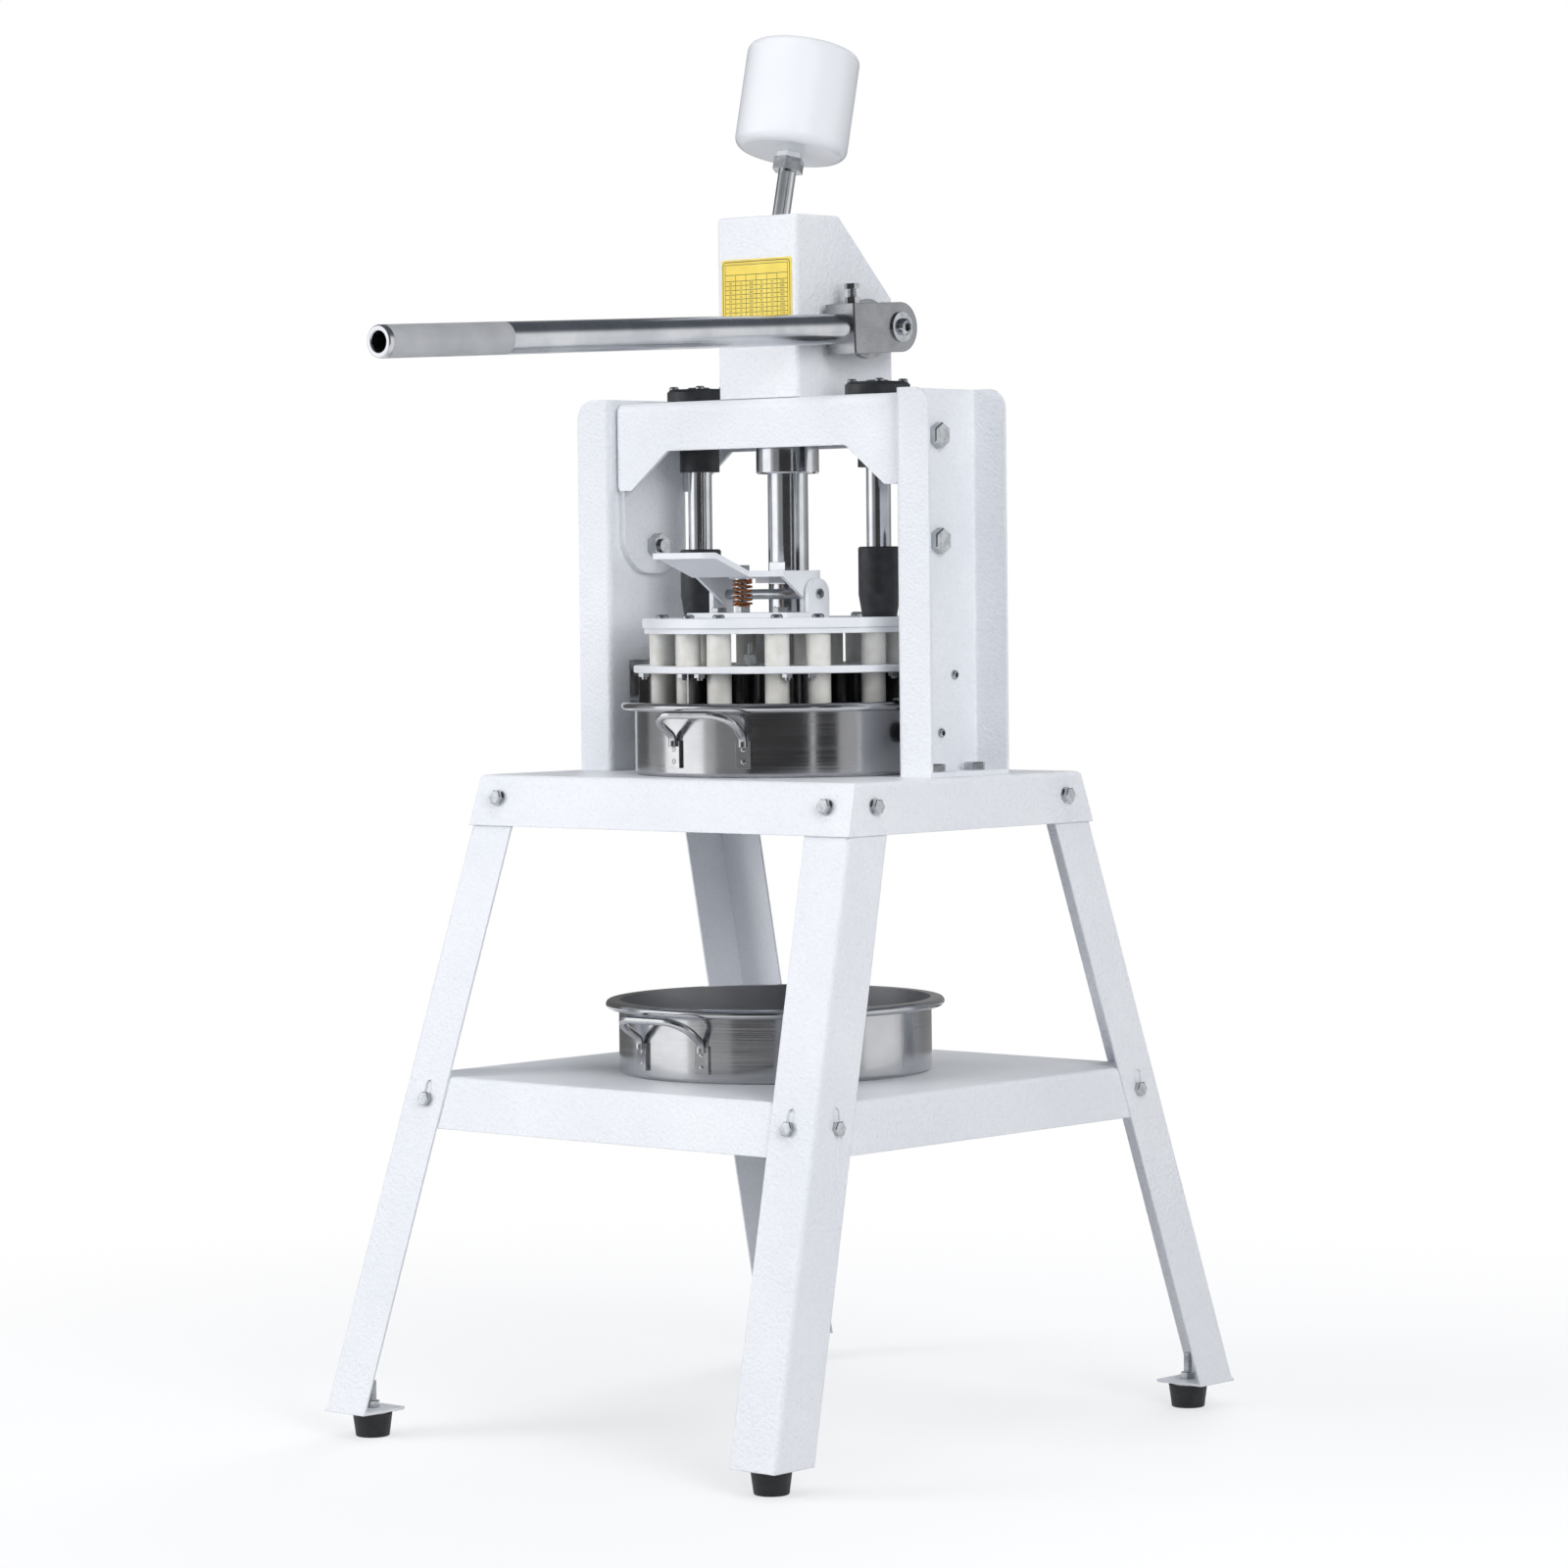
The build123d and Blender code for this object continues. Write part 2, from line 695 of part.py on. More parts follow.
plate_outer = cover_half - cover_sheet - hole_gap
with BuildPart() as bearing_plates:
    for side in (-1, 1):
        with BuildSketch(Plane.YZ.offset(side * plate_outer)):
            with Locations((shaft_y, shaft_z)):
                Circle(bearing_plate_width / 2)
            with Locations((shaft_y, head_top + shaft_rise / 2)):
                Rectangle(bearing_plate_width, shaft_rise)
            with Locations((shaft_y, shaft_z)):
                Circle(bearing_diameter / 2 + seat_gap, mode=Mode.SUBTRACT)
        extrude(amount=-side * bearing_plate)
keep(bearing_plates, "bearing_plates")

with BuildPart() as shaft_bearings:
    for side in (-1, 1):
        with BuildSketch(Plane((side * cover_half, shaft_y, shaft_z), z_dir=(side, 0, 0))):
            Circle(bearing_flange / 2)
            Circle(shaft_diameter / 2 + running_gap, mode=Mode.SUBTRACT)
        extrude(amount=bearing_flange_width)
        with BuildSketch(Plane((side * cover_half, shaft_y, shaft_z), z_dir=(side, 0, 0))):
            Circle(bearing_diameter / 2)
            Circle(shaft_diameter / 2 + running_gap, mode=Mode.SUBTRACT)
        extrude(amount=-(cover_sheet + hole_gap + bearing_plate))
keep(shaft_bearings, "shaft_bearings")

rim_top = table_height + pan_height
hold_low = rim_top + hold_down_rim_gap
hold_inner = rim_diameter / 2 - hold_down_cover
with BuildPart() as right_hold_down:
    with BuildSketch(Plane.XZ.offset(hold_down_length / 2 - press_y)) as angle_iron:
        with Locations((web_inner - hold_down_sheet / 2, hold_low + hold_down_height / 2)):
            Rectangle(hold_down_sheet, hold_down_height)
        with Locations(((web_inner + hold_inner) / 2, hold_low + hold_down_sheet / 2)):
            Rectangle(web_inner - hold_inner, hold_down_sheet)
        fillet(angle_iron.vertices().sort_by_distance((web_inner, hold_low))[0], hold_down_sheet * 0.9)
    extrude(amount=-hold_down_length)
    for across, z in screw_spots[:2]:
        with Locations(Plane((web_inner, press_y + across, z), z_dir=(1, 0, 0))):
            Hole(small_screw / 2 + thread_gap, 2 * hold_down_sheet)
keep(right_hold_down, "right_hold_down")

with BuildPart() as left_hold_down:
    mirror(right_hold_down.part, about=Plane.YZ)
keep(left_hold_down, "left_hold_down")

buffer_end = pan_diameter / 2 + buffer_gap
buffer_screw = upright_sheet + (web_inner - buffer_end) * 0.5
with BuildPart() as pan_buffers:
    for side in (-1, 1):
        across, z = screw_spots[2]
        with BuildSketch(Plane((side * web_inner, press_y + across, z), z_dir=(-side, 0, 0))):
            Circle(buffer_diameter / 2)
        extrude(amount=web_inner - buffer_end)
        with Locations(Plane((side * web_inner, press_y + across, z), z_dir=(side, 0, 0))):
            Hole(small_screw / 2, buffer_screw - upright_sheet)
    faces_in = [f for f in pan_buffers.faces().filter_by(Axis.X) if abs(f.center().X) < buffer_end + 0.1]
    fillet([edge for face in faces_in for edge in face.edges()], buffer_round)
keep(pan_buffers, "pan_buffers")

with BuildPart() as hold_down_screws:
    for side in (-1, 1):
        for index, (across, z) in enumerate(screw_spots):
            length = buffer_screw if index == 2 else upright_sheet + hold_down_sheet
            spot = (side * web_outer, press_y + across, z)
            with Locations(Plane(spot, z_dir=(side, 0, 0))):
                add(button_screw(small_head_diameter, small_head, small_screw, length))
keep(hold_down_screws, "hold_down_screws")

with BuildPart() as lever_shaft:
    with BuildSketch(Plane((-arm_outer, shaft_y, shaft_z), z_dir=(1, 0, 0))):
        Circle(shaft_diameter / 2)
    extrude(amount=2 * arm_outer)
    end_thread = end_head_diameter * 0.55
    for side in (-1, 1):
        with Locations(Plane((side * arm_outer, shaft_y, shaft_z), z_dir=(side, 0, 0))):
            Hole(end_thread / 2, end_depth)
keep(lever_shaft, "lever_shaft")

with BuildPart() as shaft_end_screws:
    for side in (-1, 1):
        with Locations(Plane((side * arm_outer, shaft_y, shaft_z), z_dir=(side, 0, 0))):
            screw = (end_head_diameter, end_head, end_thread, end_depth)
            add(button_screw(*screw, end_washer, end_washer_diameter))
keep(shaft_end_screws, "shaft_end_screws")

addendum = tooth_module
dedendum = 1.25 * tooth_module
flank = tan(radians(pressure_angle))
half_tooth = (pitch / 2 - backlash) / 2
tip_half = half_tooth - addendum * flank
root_half = half_tooth + dedendum * flank
tooth_angle = 360 / pinion_teeth
first_tooth = -ceil(stroke_down / pitch) - 1
last_tooth = ceil(stroke_up / pitch) + 1
with BuildPart() as pinion:
    with BuildSketch(Plane((-pinion_width / 2, shaft_y, shaft_z), x_dir=(0, 1, 0), z_dir=(1, 0, 0))):
        Circle(pitch_radius - dedendum)
        for index in range(first_tooth, last_tooth + 1):
            turn = 180 + index * tooth_angle
            with BuildLine(Plane.XY.rotated((0, 0, turn))):
                Polyline(
                    (pitch_radius - dedendum - 1, -root_half),
                    (pitch_radius + addendum, -tip_half),
                    (pitch_radius + addendum, tip_half),
                    (pitch_radius - dedendum - 1, root_half),
                    close=True,
                )
            make_face()
        Circle(shaft_diameter / 2 + seat_gap, mode=Mode.SUBTRACT)
    extrude(amount=pinion_width)
keep(pinion, "pinion")

droop = radians(lever_droop)
lever_axis = Vector(0, -cos(droop), -sin(droop))
lever_up = Vector(0, -sin(droop), cos(droop))
arm_middle = (arm_inner + arm_outer) / 2
lever_plan = Plane((arm_middle, shaft_y, shaft_z), x_dir=lever_axis, z_dir=lever_up)
half_height = bracket_height / 2
web_back = bracket_length - bracket_sheet


def lever_point(along, up=0.0):
    return Vector(arm_middle, shaft_y, shaft_z) + lever_axis * along + lever_up * up


lever_line = Axis(tuple(lever_point(0)), tuple(lever_axis))

with BuildPart() as lever_bracket:
    with BuildSketch(lever_plan.offset(-half_height)) as bend:
        with Locations(((bracket_length - half_height) / 2, 0)):
            Rectangle(bracket_length + half_height, arm_width)
        with Locations((web_back - (web_back + half_height) / 2 - 1, 0)):
            Rectangle(web_back + half_height + 2, arm_width - 2 * bracket_sheet, mode=Mode.SUBTRACT)
        fillet(bend.vertices().group_by(Axis.X)[-1], bracket_bend)
    extrude(amount=bracket_height)
    backs = lever_bracket.edges().filter_by(Axis.X)
    backs = backs.sort_by(lever_line)[:4]
    fillet(backs, half_height * 0.98)
    with BuildSketch(Plane((arm_inner, shaft_y, shaft_z), z_dir=(1, 0, 0))):
        Circle(shaft_diameter / 2 + seat_gap)
    extrude(amount=arm_width, mode=Mode.SUBTRACT)
    with BuildSketch(Plane(lever_point(bracket_length), z_dir=lever_axis)):
        Circle(spigot_diameter / 2 + seat_gap)
    extrude(amount=-2 * bracket_sheet, mode=Mode.SUBTRACT)
keep(lever_bracket, "lever_bracket")

socket_width = arm_width - 2 * bracket_sheet
with BuildPart() as lever_socket:
    with BuildSketch(lever_plan.offset(-half_height)):
        with Locations((web_back - socket_length / 2, 0)):
            Rectangle(socket_length, socket_width)
    extrude(amount=bracket_height)
    with BuildSketch(Plane(lever_point(web_back), z_dir=lever_axis)):
        Circle(spigot_diameter / 2 + seat_gap)
    extrude(amount=-socket_length, mode=Mode.SUBTRACT)
    with BuildSketch(Plane(lever_point(lock_bolt_reach), z_dir=lever_up)):
        Circle(m8[0] / 2 + thread_gap)
    extrude(amount=bracket_height, mode=Mode.SUBTRACT)
keep(lever_socket, "lever_socket")

with BuildPart() as lever_tube:
    with BuildSketch(Plane(lever_point(bracket_length), z_dir=lever_axis)):
        Circle(tube_diameter / 2)
    extrude(amount=lever_length - bracket_length)
    with BuildSketch(Plane(lever_point(bracket_length), z_dir=lever_axis)):
        Circle(spigot_diameter / 2)
    extrude(amount=-(socket_length + bracket_sheet))
    with BuildSketch(Plane(lever_point(lever_length), z_dir=lever_axis)):
        Circle(tube_bore / 2)
    extrude(amount=bracket_length + tube_wall_end - lever_length, mode=Mode.SUBTRACT)
    rims = lever_tube.edges().filter_by(GeomType.CIRCLE)
    rims = rims.sort_by(lever_line)
    fillet(rims[-2:], tube_round)
keep(lever_tube, "lever_tube")

with BuildPart() as lever_lock_bolt:
    with BuildSketch(Plane(lever_point(lock_bolt_reach, half_height), z_dir=lever_up)):
        RegularPolygon(m8[1] / 2, 6, major_radius=False)
        Circle(m8[0] / 2 + thread_gap, mode=Mode.SUBTRACT)
    extrude(amount=m8[3])
    head_up = half_height + m8[3] + lock_bolt_stand
    with BuildSketch(Plane(lever_point(lock_bolt_reach, head_up), z_dir=lever_up)):
        RegularPolygon(m8[1] / 2, 6, major_radius=False)
    extrude(amount=m8[2])
    with BuildSketch(Plane(lever_point(lock_bolt_reach, head_up), z_dir=lever_up)):
        Circle(m8[0] / 2)
    extrude(amount=spigot_diameter / 2 + seat_gap - head_up)
keep(lever_lock_bolt, "lever_lock_bolt")

lean = radians(weight_lean)
weight_axis = Vector(0, sin(lean), cos(lean))


def weight_plane(reach):
    spot = Vector(-arm_middle, shaft_y, shaft_z) + weight_axis * reach
    return Plane(spot, x_dir=(1, 0, 0), z_dir=weight_axis)


rod_foot = shaft_diameter / 2 + weight_rod_gap
with BuildPart() as weight_hub:
    with BuildSketch(Plane((-arm_outer, shaft_y, shaft_z), z_dir=(1, 0, 0))):
        Circle(weight_hub_diameter / 2)
        Circle(shaft_diameter / 2 + seat_gap, mode=Mode.SUBTRACT)
    extrude(amount=arm_width)
    chamfer(weight_hub.edges().filter_by(GeomType.CIRCLE).group_by(SortBy.RADIUS)[-1], weight_hub_chamfer)
    with BuildSketch(weight_plane(rod_foot)):
        Circle(weight_rod_diameter / 2 + seat_gap)
    extrude(amount=weight_hub_diameter, mode=Mode.SUBTRACT)
keep(weight_hub, "weight_hub")

with BuildPart() as weight_rod:
    with BuildSketch(weight_plane(rod_foot)):
        Circle(weight_rod_diameter / 2)
    extrude(amount=weight_reach + weight_socket - rod_foot)
keep(weight_rod, "weight_rod")

with BuildPart() as weight_nut:
    with BuildSketch(weight_plane(weight_reach - weight_boss)):
        RegularPolygon(weight_nut_flats / 2, 6, major_radius=False)
        Circle(weight_rod_diameter / 2 + thread_gap, mode=Mode.SUBTRACT)
    extrude(amount=-weight_nut_height)
keep(weight_nut, "weight_nut")

with BuildPart() as counterweight:
    with BuildSketch(weight_plane(weight_reach)):
        Circle(weight_diameter / 2)
    extrude(amount=weight_length)
    fillet(counterweight.edges().filter_by(GeomType.CIRCLE), weight_round)
    with BuildSketch(weight_plane(weight_reach)):
        RegularPolygon(weight_boss_flats / 2, 6, major_radius=False)
    extrude(amount=-weight_boss)
    with BuildSketch(weight_plane(weight_reach - weight_boss)):
        Circle(weight_rod_diameter / 2 + seat_gap)
    extrude(amount=weight_boss + weight_socket, mode=Mode.SUBTRACT)
keep(counterweight, "counterweight")

ram_top = head_top + ram_stick_out
tongue_low = pedal_low - tongue_sheet
notch_low = tongue_low - notch_foot
notch_high = pedal_low + pusher_travel + notch_head
first_groove = -ceil(stroke_up / pitch) - 1
last_groove = ceil(stroke_down / pitch) + 1
rack_line = press_y + pitch_line
rack_low = shaft_z + (first_groove - 0.5) * pitch
with BuildPart() as ram:
    with BuildSketch(Plane.XY.offset(plate_top)):
        with Locations((0, press_y)):
            Circle(ram_radius)
    extrude(amount=ram_top - plate_top)
    chamfer(ram.edges().group_by(Axis.Z)[-1], bar_chamfer)
    with BuildSketch(Plane.YZ.offset(-ram_diameter)):
        for index in range(first_groove, last_groove + 1):
            middle = shaft_z + index * pitch
            with BuildLine():
                Polyline(
                    (rack_line - dedendum, middle - pitch / 2 + root_half),
                    (rack_line + addendum, middle - pitch / 2 + tip_half),
                    (rack_line + addendum, middle + pitch / 2 - tip_half),
                    (rack_line - dedendum, middle + pitch / 2 - root_half),
                    close=True,
                )
            make_face()
        with Locations((rack_line + addendum + ram_diameter / 2, (rack_low + ram_top) / 2)):
            Rectangle(ram_diameter, ram_top - rack_low + 0.01)
    extrude(amount=2 * ram_diameter, mode=Mode.SUBTRACT)
    with BuildSketch(Plane.XY.offset(notch_low)):
        with Locations((0, press_y - tongue_back + notch_gap - ram_diameter / 2)):
            Rectangle(2 * ram_diameter, ram_diameter)
    extrude(amount=notch_high - notch_low, mode=Mode.SUBTRACT)
keep(ram, "ram")


def polar(radius, angle):
    turn = radians(angle)
    return radius * sin(turn), press_y - radius * cos(turn)


segment = 360 / segments
column_spots = []
for index in range(segments):
    for side in (-1, 1):
        angle = (index + 0.5) * segment + side * column_offset
        column_spots.append(polar(column_circle_diameter / 2, angle))
inner_spots = []
for middle in inner_side_angles:
    for side in (-1, 1):
        inner_spots.append(polar(inner_column_circle_diameter / 2, middle + side * inner_column_angle))
knife_bolt_spots = []
for index in range(segments):
    for side in (-1, 1):
        angle = index * segment + side * knife_bolt_offset
        knife_bolt_spots.append(polar(knife_bolt_circle_diameter / 2, angle))
stop_spot = polar(stop_stud_circle_diameter / 2, segment / 2)

with BuildPart() as knife_plate:
    with BuildSketch(Plane.XY.offset(plate_low)):
        with Locations((0, press_y)):
            Circle(knife_plate_diameter / 2)
        with Locations(*column_spots):
            Circle(column_diameter / 2 + column_gap, mode=Mode.SUBTRACT)
        with Locations(*inner_spots):
            Circle(inner_column_diameter / 2 + column_gap, mode=Mode.SUBTRACT)
    extrude(amount=knife_plate_sheet)
    chamfer(knife_plate.edges().filter_by(GeomType.CIRCLE).group_by(SortBy.RADIUS)[-1], disc_chamfer)
    with Locations(*[(x, y, plate_low) for x, y in knife_bolt_spots]):
        CounterBoreHole(m6[0] / 2 + seat_gap, m6[0] / 2 + seat_gap, 1.0, knife_plate_sheet * 0.8)
keep(knife_plate, "knife_plate")

with BuildPart() as knives:
    with BuildSketch(Plane.XY.offset(knife_low)):
        with Locations((0, press_y)):
            Circle(knife_ring_diameter / 2)
            Circle(knife_ring_diameter / 2 - knife_sheet, mode=Mode.SUBTRACT)
            Rectangle(knife_sheet, knife_ring_diameter - knife_sheet)
        blade = knife_reach - knife_ring_diameter / 2 + knife_sheet / 2
        for index in range(segments):
            middle = knife_reach - blade / 2
            with Locations(polar(middle, index * segment)):
                Rectangle(knife_sheet, blade, rotation=index * segment)
    extrude(amount=knife_height)
keep(knives, "knives")

with BuildPart() as knife_bolts:
    with BuildSketch(Plane.XY.offset(plate_low)):
        with Locations(*knife_bolt_spots):
            RegularPolygon(m6[1] / 2, 6, major_radius=False)
    extrude(amount=-m6[2])
    with BuildSketch(Plane.XY.offset(plate_low - m6[2])):
        with Locations(*knife_bolt_spots):
            Circle(m6[0] / 2)
    extrude(amount=-knife_bolt_stick_out)
keep(knife_bolts, "knife_bolts")

with BuildPart() as stop_stud:
    with BuildSketch(Plane.XY.offset(plate_top)):
        with Locations(stop_spot):
            Circle(stop_stud_diameter / 2)
    extrude(amount=stop_stud_height)
    with BuildSketch(Plane.XY.offset(plate_top + knurled_nut_rise)):
        with Locations(stop_spot):
            Circle(knurled_nut_diameter / 2)
            Circle(stop_stud_diameter / 2 + thread_gap, mode=Mode.SUBTRACT)
    extrude(amount=knurled_nut_height)
keep(stop_stud, "stop_stud")

bracket_bolt_spots = [(side * bracket_bolt_half, press_y - bracket_bolt_ahead) for side in (-1, 1)]
spring_spot = (0, press_y - spring_ahead)
sleeve_keep = sleeve_diameter / 2 + column_screw_diameter / 2
screwed_columns = []
for x, y in column_spots:
    if sqrt((abs(x) - rod_x) ** 2 + (y - press_y) ** 2) > sleeve_keep:
        screwed_columns.append((x, y))
disc_hole_depth = upper_disc_sheet * 0.8
with BuildPart() as upper_disc:
    with BuildSketch(Plane.XY.offset(disc_top)):
        with Locations((0, press_y)):
            Circle(disc_diameter / 2)
            Circle(ram_radius + hole_gap, mode=Mode.SUBTRACT)
    extrude(amount=-upper_disc_sheet)
    chamfer(upper_disc.edges().filter_by(GeomType.CIRCLE).group_by(SortBy.RADIUS)[-1], disc_chamfer)
    with Locations(*[(x, y, disc_top) for x, y in screwed_columns]):
        Hole(small_screw / 2 + thread_gap, disc_hole_depth)
    with Locations(*[(x, y, disc_top) for x, y in bracket_bolt_spots]):
        Hole(m8[0] / 2 + thread_gap, disc_hole_depth)
keep(upper_disc, "upper_disc")

with BuildPart() as lower_disc:
    with BuildSketch(Plane.XY.offset(disc_low)):
        with Locations((0, press_y)):
            Circle(disc_diameter / 2 - lower_disc_inset)
            Circle(ram_radius + hole_gap, mode=Mode.SUBTRACT)
    extrude(amount=lower_disc_sheet)
keep(lower_disc, "lower_disc")

pusher_top = knife_low + pusher_height
with BuildPart() as pusher_columns:
    with BuildSketch(Plane.XY.offset(pusher_top)):
        with Locations(*column_spots):
            Circle(column_diameter / 2)
        with Locations(*inner_spots):
            Circle(inner_column_diameter / 2)
    extrude(amount=disc_low - pusher_top)
keep(pusher_columns, "pusher_columns")

with BuildPart() as pushers:
    with BuildSketch(Plane.XY.offset(knife_low)):
        with Locations((0, press_y)):
            Circle(knife_reach)
            Circle(knife_ring_diameter / 2 + pusher_gap, mode=Mode.SUBTRACT)
            for index in range(segments // 2):
                slit = knife_sheet + 2 * pusher_gap
                Rectangle(slit, 3 * knife_reach, rotation=index * segment, mode=Mode.SUBTRACT)
            Circle(knife_ring_diameter / 2 - knife_sheet - pusher_gap)
            Rectangle(slit, 3 * knife_reach, mode=Mode.SUBTRACT)
    extrude(amount=pusher_height)
keep(pushers, "pushers")

rod_top = head_top + rod_bush_flange_height + rod_stick_out
for name, spot in zip(("left_guide_rod", "right_guide_rod"), bush_spots):
    with BuildPart() as guide_rod:
        with BuildSketch(Plane.XY.offset(disc_top)):
            with Locations(spot):
                Circle(rod_diameter / 2)
        extrude(amount=rod_top - disc_top)
        chamfer(guide_rod.edges().group_by(Axis.Z)[-1], bar_chamfer)
    keep(guide_rod, name)

with BuildPart() as rod_sleeves:
    for centre_x, centre_y in bush_spots:
        with Locations((centre_x, centre_y, disc_top + sleeve_taper / 2)):
            Cone(sleeve_low_diameter / 2, sleeve_diameter / 2, sleeve_taper)
        with BuildSketch(Plane.XY.offset(disc_top + sleeve_taper)):
            with Locations((centre_x, centre_y)):
                Circle(sleeve_diameter / 2)
        extrude(amount=sleeve_height - sleeve_taper)
    chamfer(rod_sleeves.edges().group_by(Axis.Z)[-1], bar_chamfer)
    with Locations(*[(x, y, disc_top + sleeve_height) for x, y in bush_spots]):
        Hole(rod_diameter / 2 + seat_gap, sleeve_height)
keep(rod_sleeves, "rod_sleeves")

with BuildPart() as latch_bracket:
    with BuildSketch(Plane.XY.offset(disc_top)):
        with Locations((0, press_y - (latch_base_front + latch_base_back) / 2)):
            Rectangle(2 * latch_base_half, latch_base_front - latch_base_back)
        with Locations((0, press_y)):
            Circle(ram_radius + ram_clearance, mode=Mode.SUBTRACT)
    extrude(amount=latch_base)
    for side in (-1, 1):
        with BuildSketch(Plane.YZ.offset(side * latch_base_half)):
            with Locations((pin_y, pin_z)):
                Circle(ear_radius)
            with Locations((pin_y, disc_top + pin_rise / 2)):
                Rectangle(2 * ear_radius, pin_rise)
        extrude(amount=-side * ear_sheet)
    with BuildSketch(Plane.YZ.offset(-latch_base_half)):
        with Locations((pin_y, pin_z)):
            Circle(pin_diameter / 2 + seat_gap)
    extrude(amount=2 * latch_base_half, mode=Mode.SUBTRACT)
    with Locations(*[(x, y, disc_top + latch_base) for x, y in bracket_bolt_spots]):
        Hole(m8[0] / 2 + hole_gap, 2 * latch_base)
    with Locations((*spring_spot, disc_top + latch_base)):
        Hole(m8[0] / 2 + seat_gap, 2 * latch_base)
keep(latch_bracket, "latch_bracket")

with BuildPart() as latch_pin:
    with BuildSketch(Plane((-latch_base_half - pin_end, pin_y, pin_z), z_dir=(1, 0, 0))):
        Circle(pin_diameter / 2)
    extrude(amount=2 * (latch_base_half + pin_end))
    chamfer(latch_pin.edges().filter_by(GeomType.CIRCLE), pin_chamfer)
keep(latch_pin, "latch_pin")

with BuildPart() as disc_screws:
    with Locations(*[(x, y, disc_top) for x, y in screwed_columns]):
        add(button_screw(column_screw_diameter, column_screw_height, small_screw, disc_hole_depth))
    with Locations(*[(x, y, disc_top + latch_base) for x, y in bracket_bolt_spots]):
        add(hex_bolt(m8, latch_base + disc_hole_depth, nut=False))
keep(disc_screws, "disc_screws")

head_seat = pedal_top + hole_gap
with BuildPart() as spring_bolt:
    with BuildSketch(Plane.XY.offset(disc_top)):
        with Locations(spring_spot):
            Circle(m8[0] / 2)
    extrude(amount=head_seat - disc_top)
    with BuildSketch(Plane.XY.offset(head_seat)):
        with Locations(spring_spot):
            RegularPolygon(m8[1] / 2, 6, major_radius=False)
    extrude(amount=m8[2])
    with BuildSketch(Plane.XY.offset(disc_top + latch_base)):
        with Locations(spring_spot):
            RegularPolygon(m8[1] / 2, 6, major_radius=False)
            Circle(m8[0] / 2 + thread_gap, mode=Mode.SUBTRACT)
    extrude(amount=spring_nut)
keep(spring_bolt, "spring_bolt")

cheek_outer = latch_base_half - ear_sheet - cheek_gap
slope_front = press_y - pedal_slope_front
neck = press_y - pedal_neck
tip = press_y - pedal_tip
pedal_rear = press_y - pedal_back
cheek_start = press_y - cheek_front
bolt_swing = (spring_ahead - pin_ahead) * (1 - cos(radians(latch_angle)))
bolt_swing += (pedal_top - pin_z) * sin(radians(latch_angle))
slot_half = m8[0] / 2 + hole_gap
with BuildPart() as latch_pedal:
    with BuildSketch(Plane.YZ.offset(-cheek_outer)):
        with BuildLine():
            Polyline(
                (pedal_rear, pedal_low),
                (neck, pedal_low),
                (slope_front, pedal_low + pedal_slope_rise),
                (tip, pedal_low + pedal_slope_rise),
                (tip, pedal_top + pedal_slope_rise),
                (slope_front, pedal_top + pedal_slope_rise),
                (neck, pedal_top),
                (pedal_rear, pedal_top),
                close=True,
            )
        make_face()
    extrude(amount=2 * cheek_outer)
    with BuildSketch(Plane.XY.offset(pedal_low)) as plan:
        with BuildLine():
            Polyline(
                (cheek_outer, pedal_rear),
                (cheek_outer, cheek_start),
                (pedal_width / 2, neck),
                (pedal_width / 2, tip),
                (-pedal_width / 2, tip),
                (-pedal_width / 2, neck),
                (-cheek_outer, cheek_start),
                (-cheek_outer, pedal_rear),
                close=True,
            )
        make_face()
        fillet(plan.vertices().group_by(Axis.Y)[0], pedal_round)
    extrude(amount=pedal_sheet + pedal_slope_rise, mode=Mode.INTERSECT)
    for side in (-1, 1):
        with BuildSketch(Plane.YZ.offset(side * cheek_outer)):
            with BuildLine():
                Polyline(
                    (cheek_start, pedal_low),
                    (cheek_start, pedal_top),
                    (pin_y + cheek_radius, pedal_top),
                    (pin_y + cheek_radius, pin_z),
                    (pin_y - cheek_radius * 0.7, pin_z - cheek_radius * 0.7),
                    close=True,
                )
            make_face()
            with Locations((pin_y, pin_z)):
                Circle(cheek_radius)
        extrude(amount=-side * cheek_sheet)
    with BuildSketch(Plane.XY.offset(tongue_low)):
        with Locations((0, press_y - tongue_back - tongue_length / 2)):
            Rectangle(tongue_width, tongue_length)
    extrude(amount=tongue_sheet)
    with BuildSketch(Plane.XY.offset(pedal_low - spring_seat)):
        with Locations(spring_spot):
            Circle(spring_seat_diameter / 2)
    extrude(amount=spring_seat)
    with BuildSketch(Plane.XY.offset(pedal_low - spring_seat)):
        with Locations(spring_spot):
            Circle(spring_seat_bore / 2)
    extrude(amount=spring_seat, mode=Mode.SUBTRACT)
    with BuildSketch(Plane.XY.offset(pedal_low - spring_seat)):
        with Locations((0, spring_spot[1] + bolt_swing / 2)):
            SlotCenterToCenter(bolt_swing, 2 * slot_half, rotation=90)
    extrude(amount=spring_seat + pedal_sheet, mode=Mode.SUBTRACT)
    with BuildSketch(Plane.YZ.offset(-cheek_outer)):
        with Locations((pin_y, pin_z)):
            Circle(pin_diameter / 2 + running_gap)
    extrude(amount=2 * cheek_outer, mode=Mode.SUBTRACT)
keep(latch_pedal, "latch_pedal")

coil_low = disc_top + latch_base + spring_nut + spring_wire / 2 + seat_gap
coil_high = pedal_low - spring_seat - spring_wire / 2 - seat_gap
coil_radius = (spring_diameter - spring_wire) / 2
coil_pitch = (coil_high - coil_low) / spring_turns


def coil_point(turns):
    turn = 2 * pi * turns
    x, y = coil_radius * cos(turn), coil_radius * sin(turn)
    return Vector(x, spring_spot[1] + y, coil_low + coil_pitch * turns)


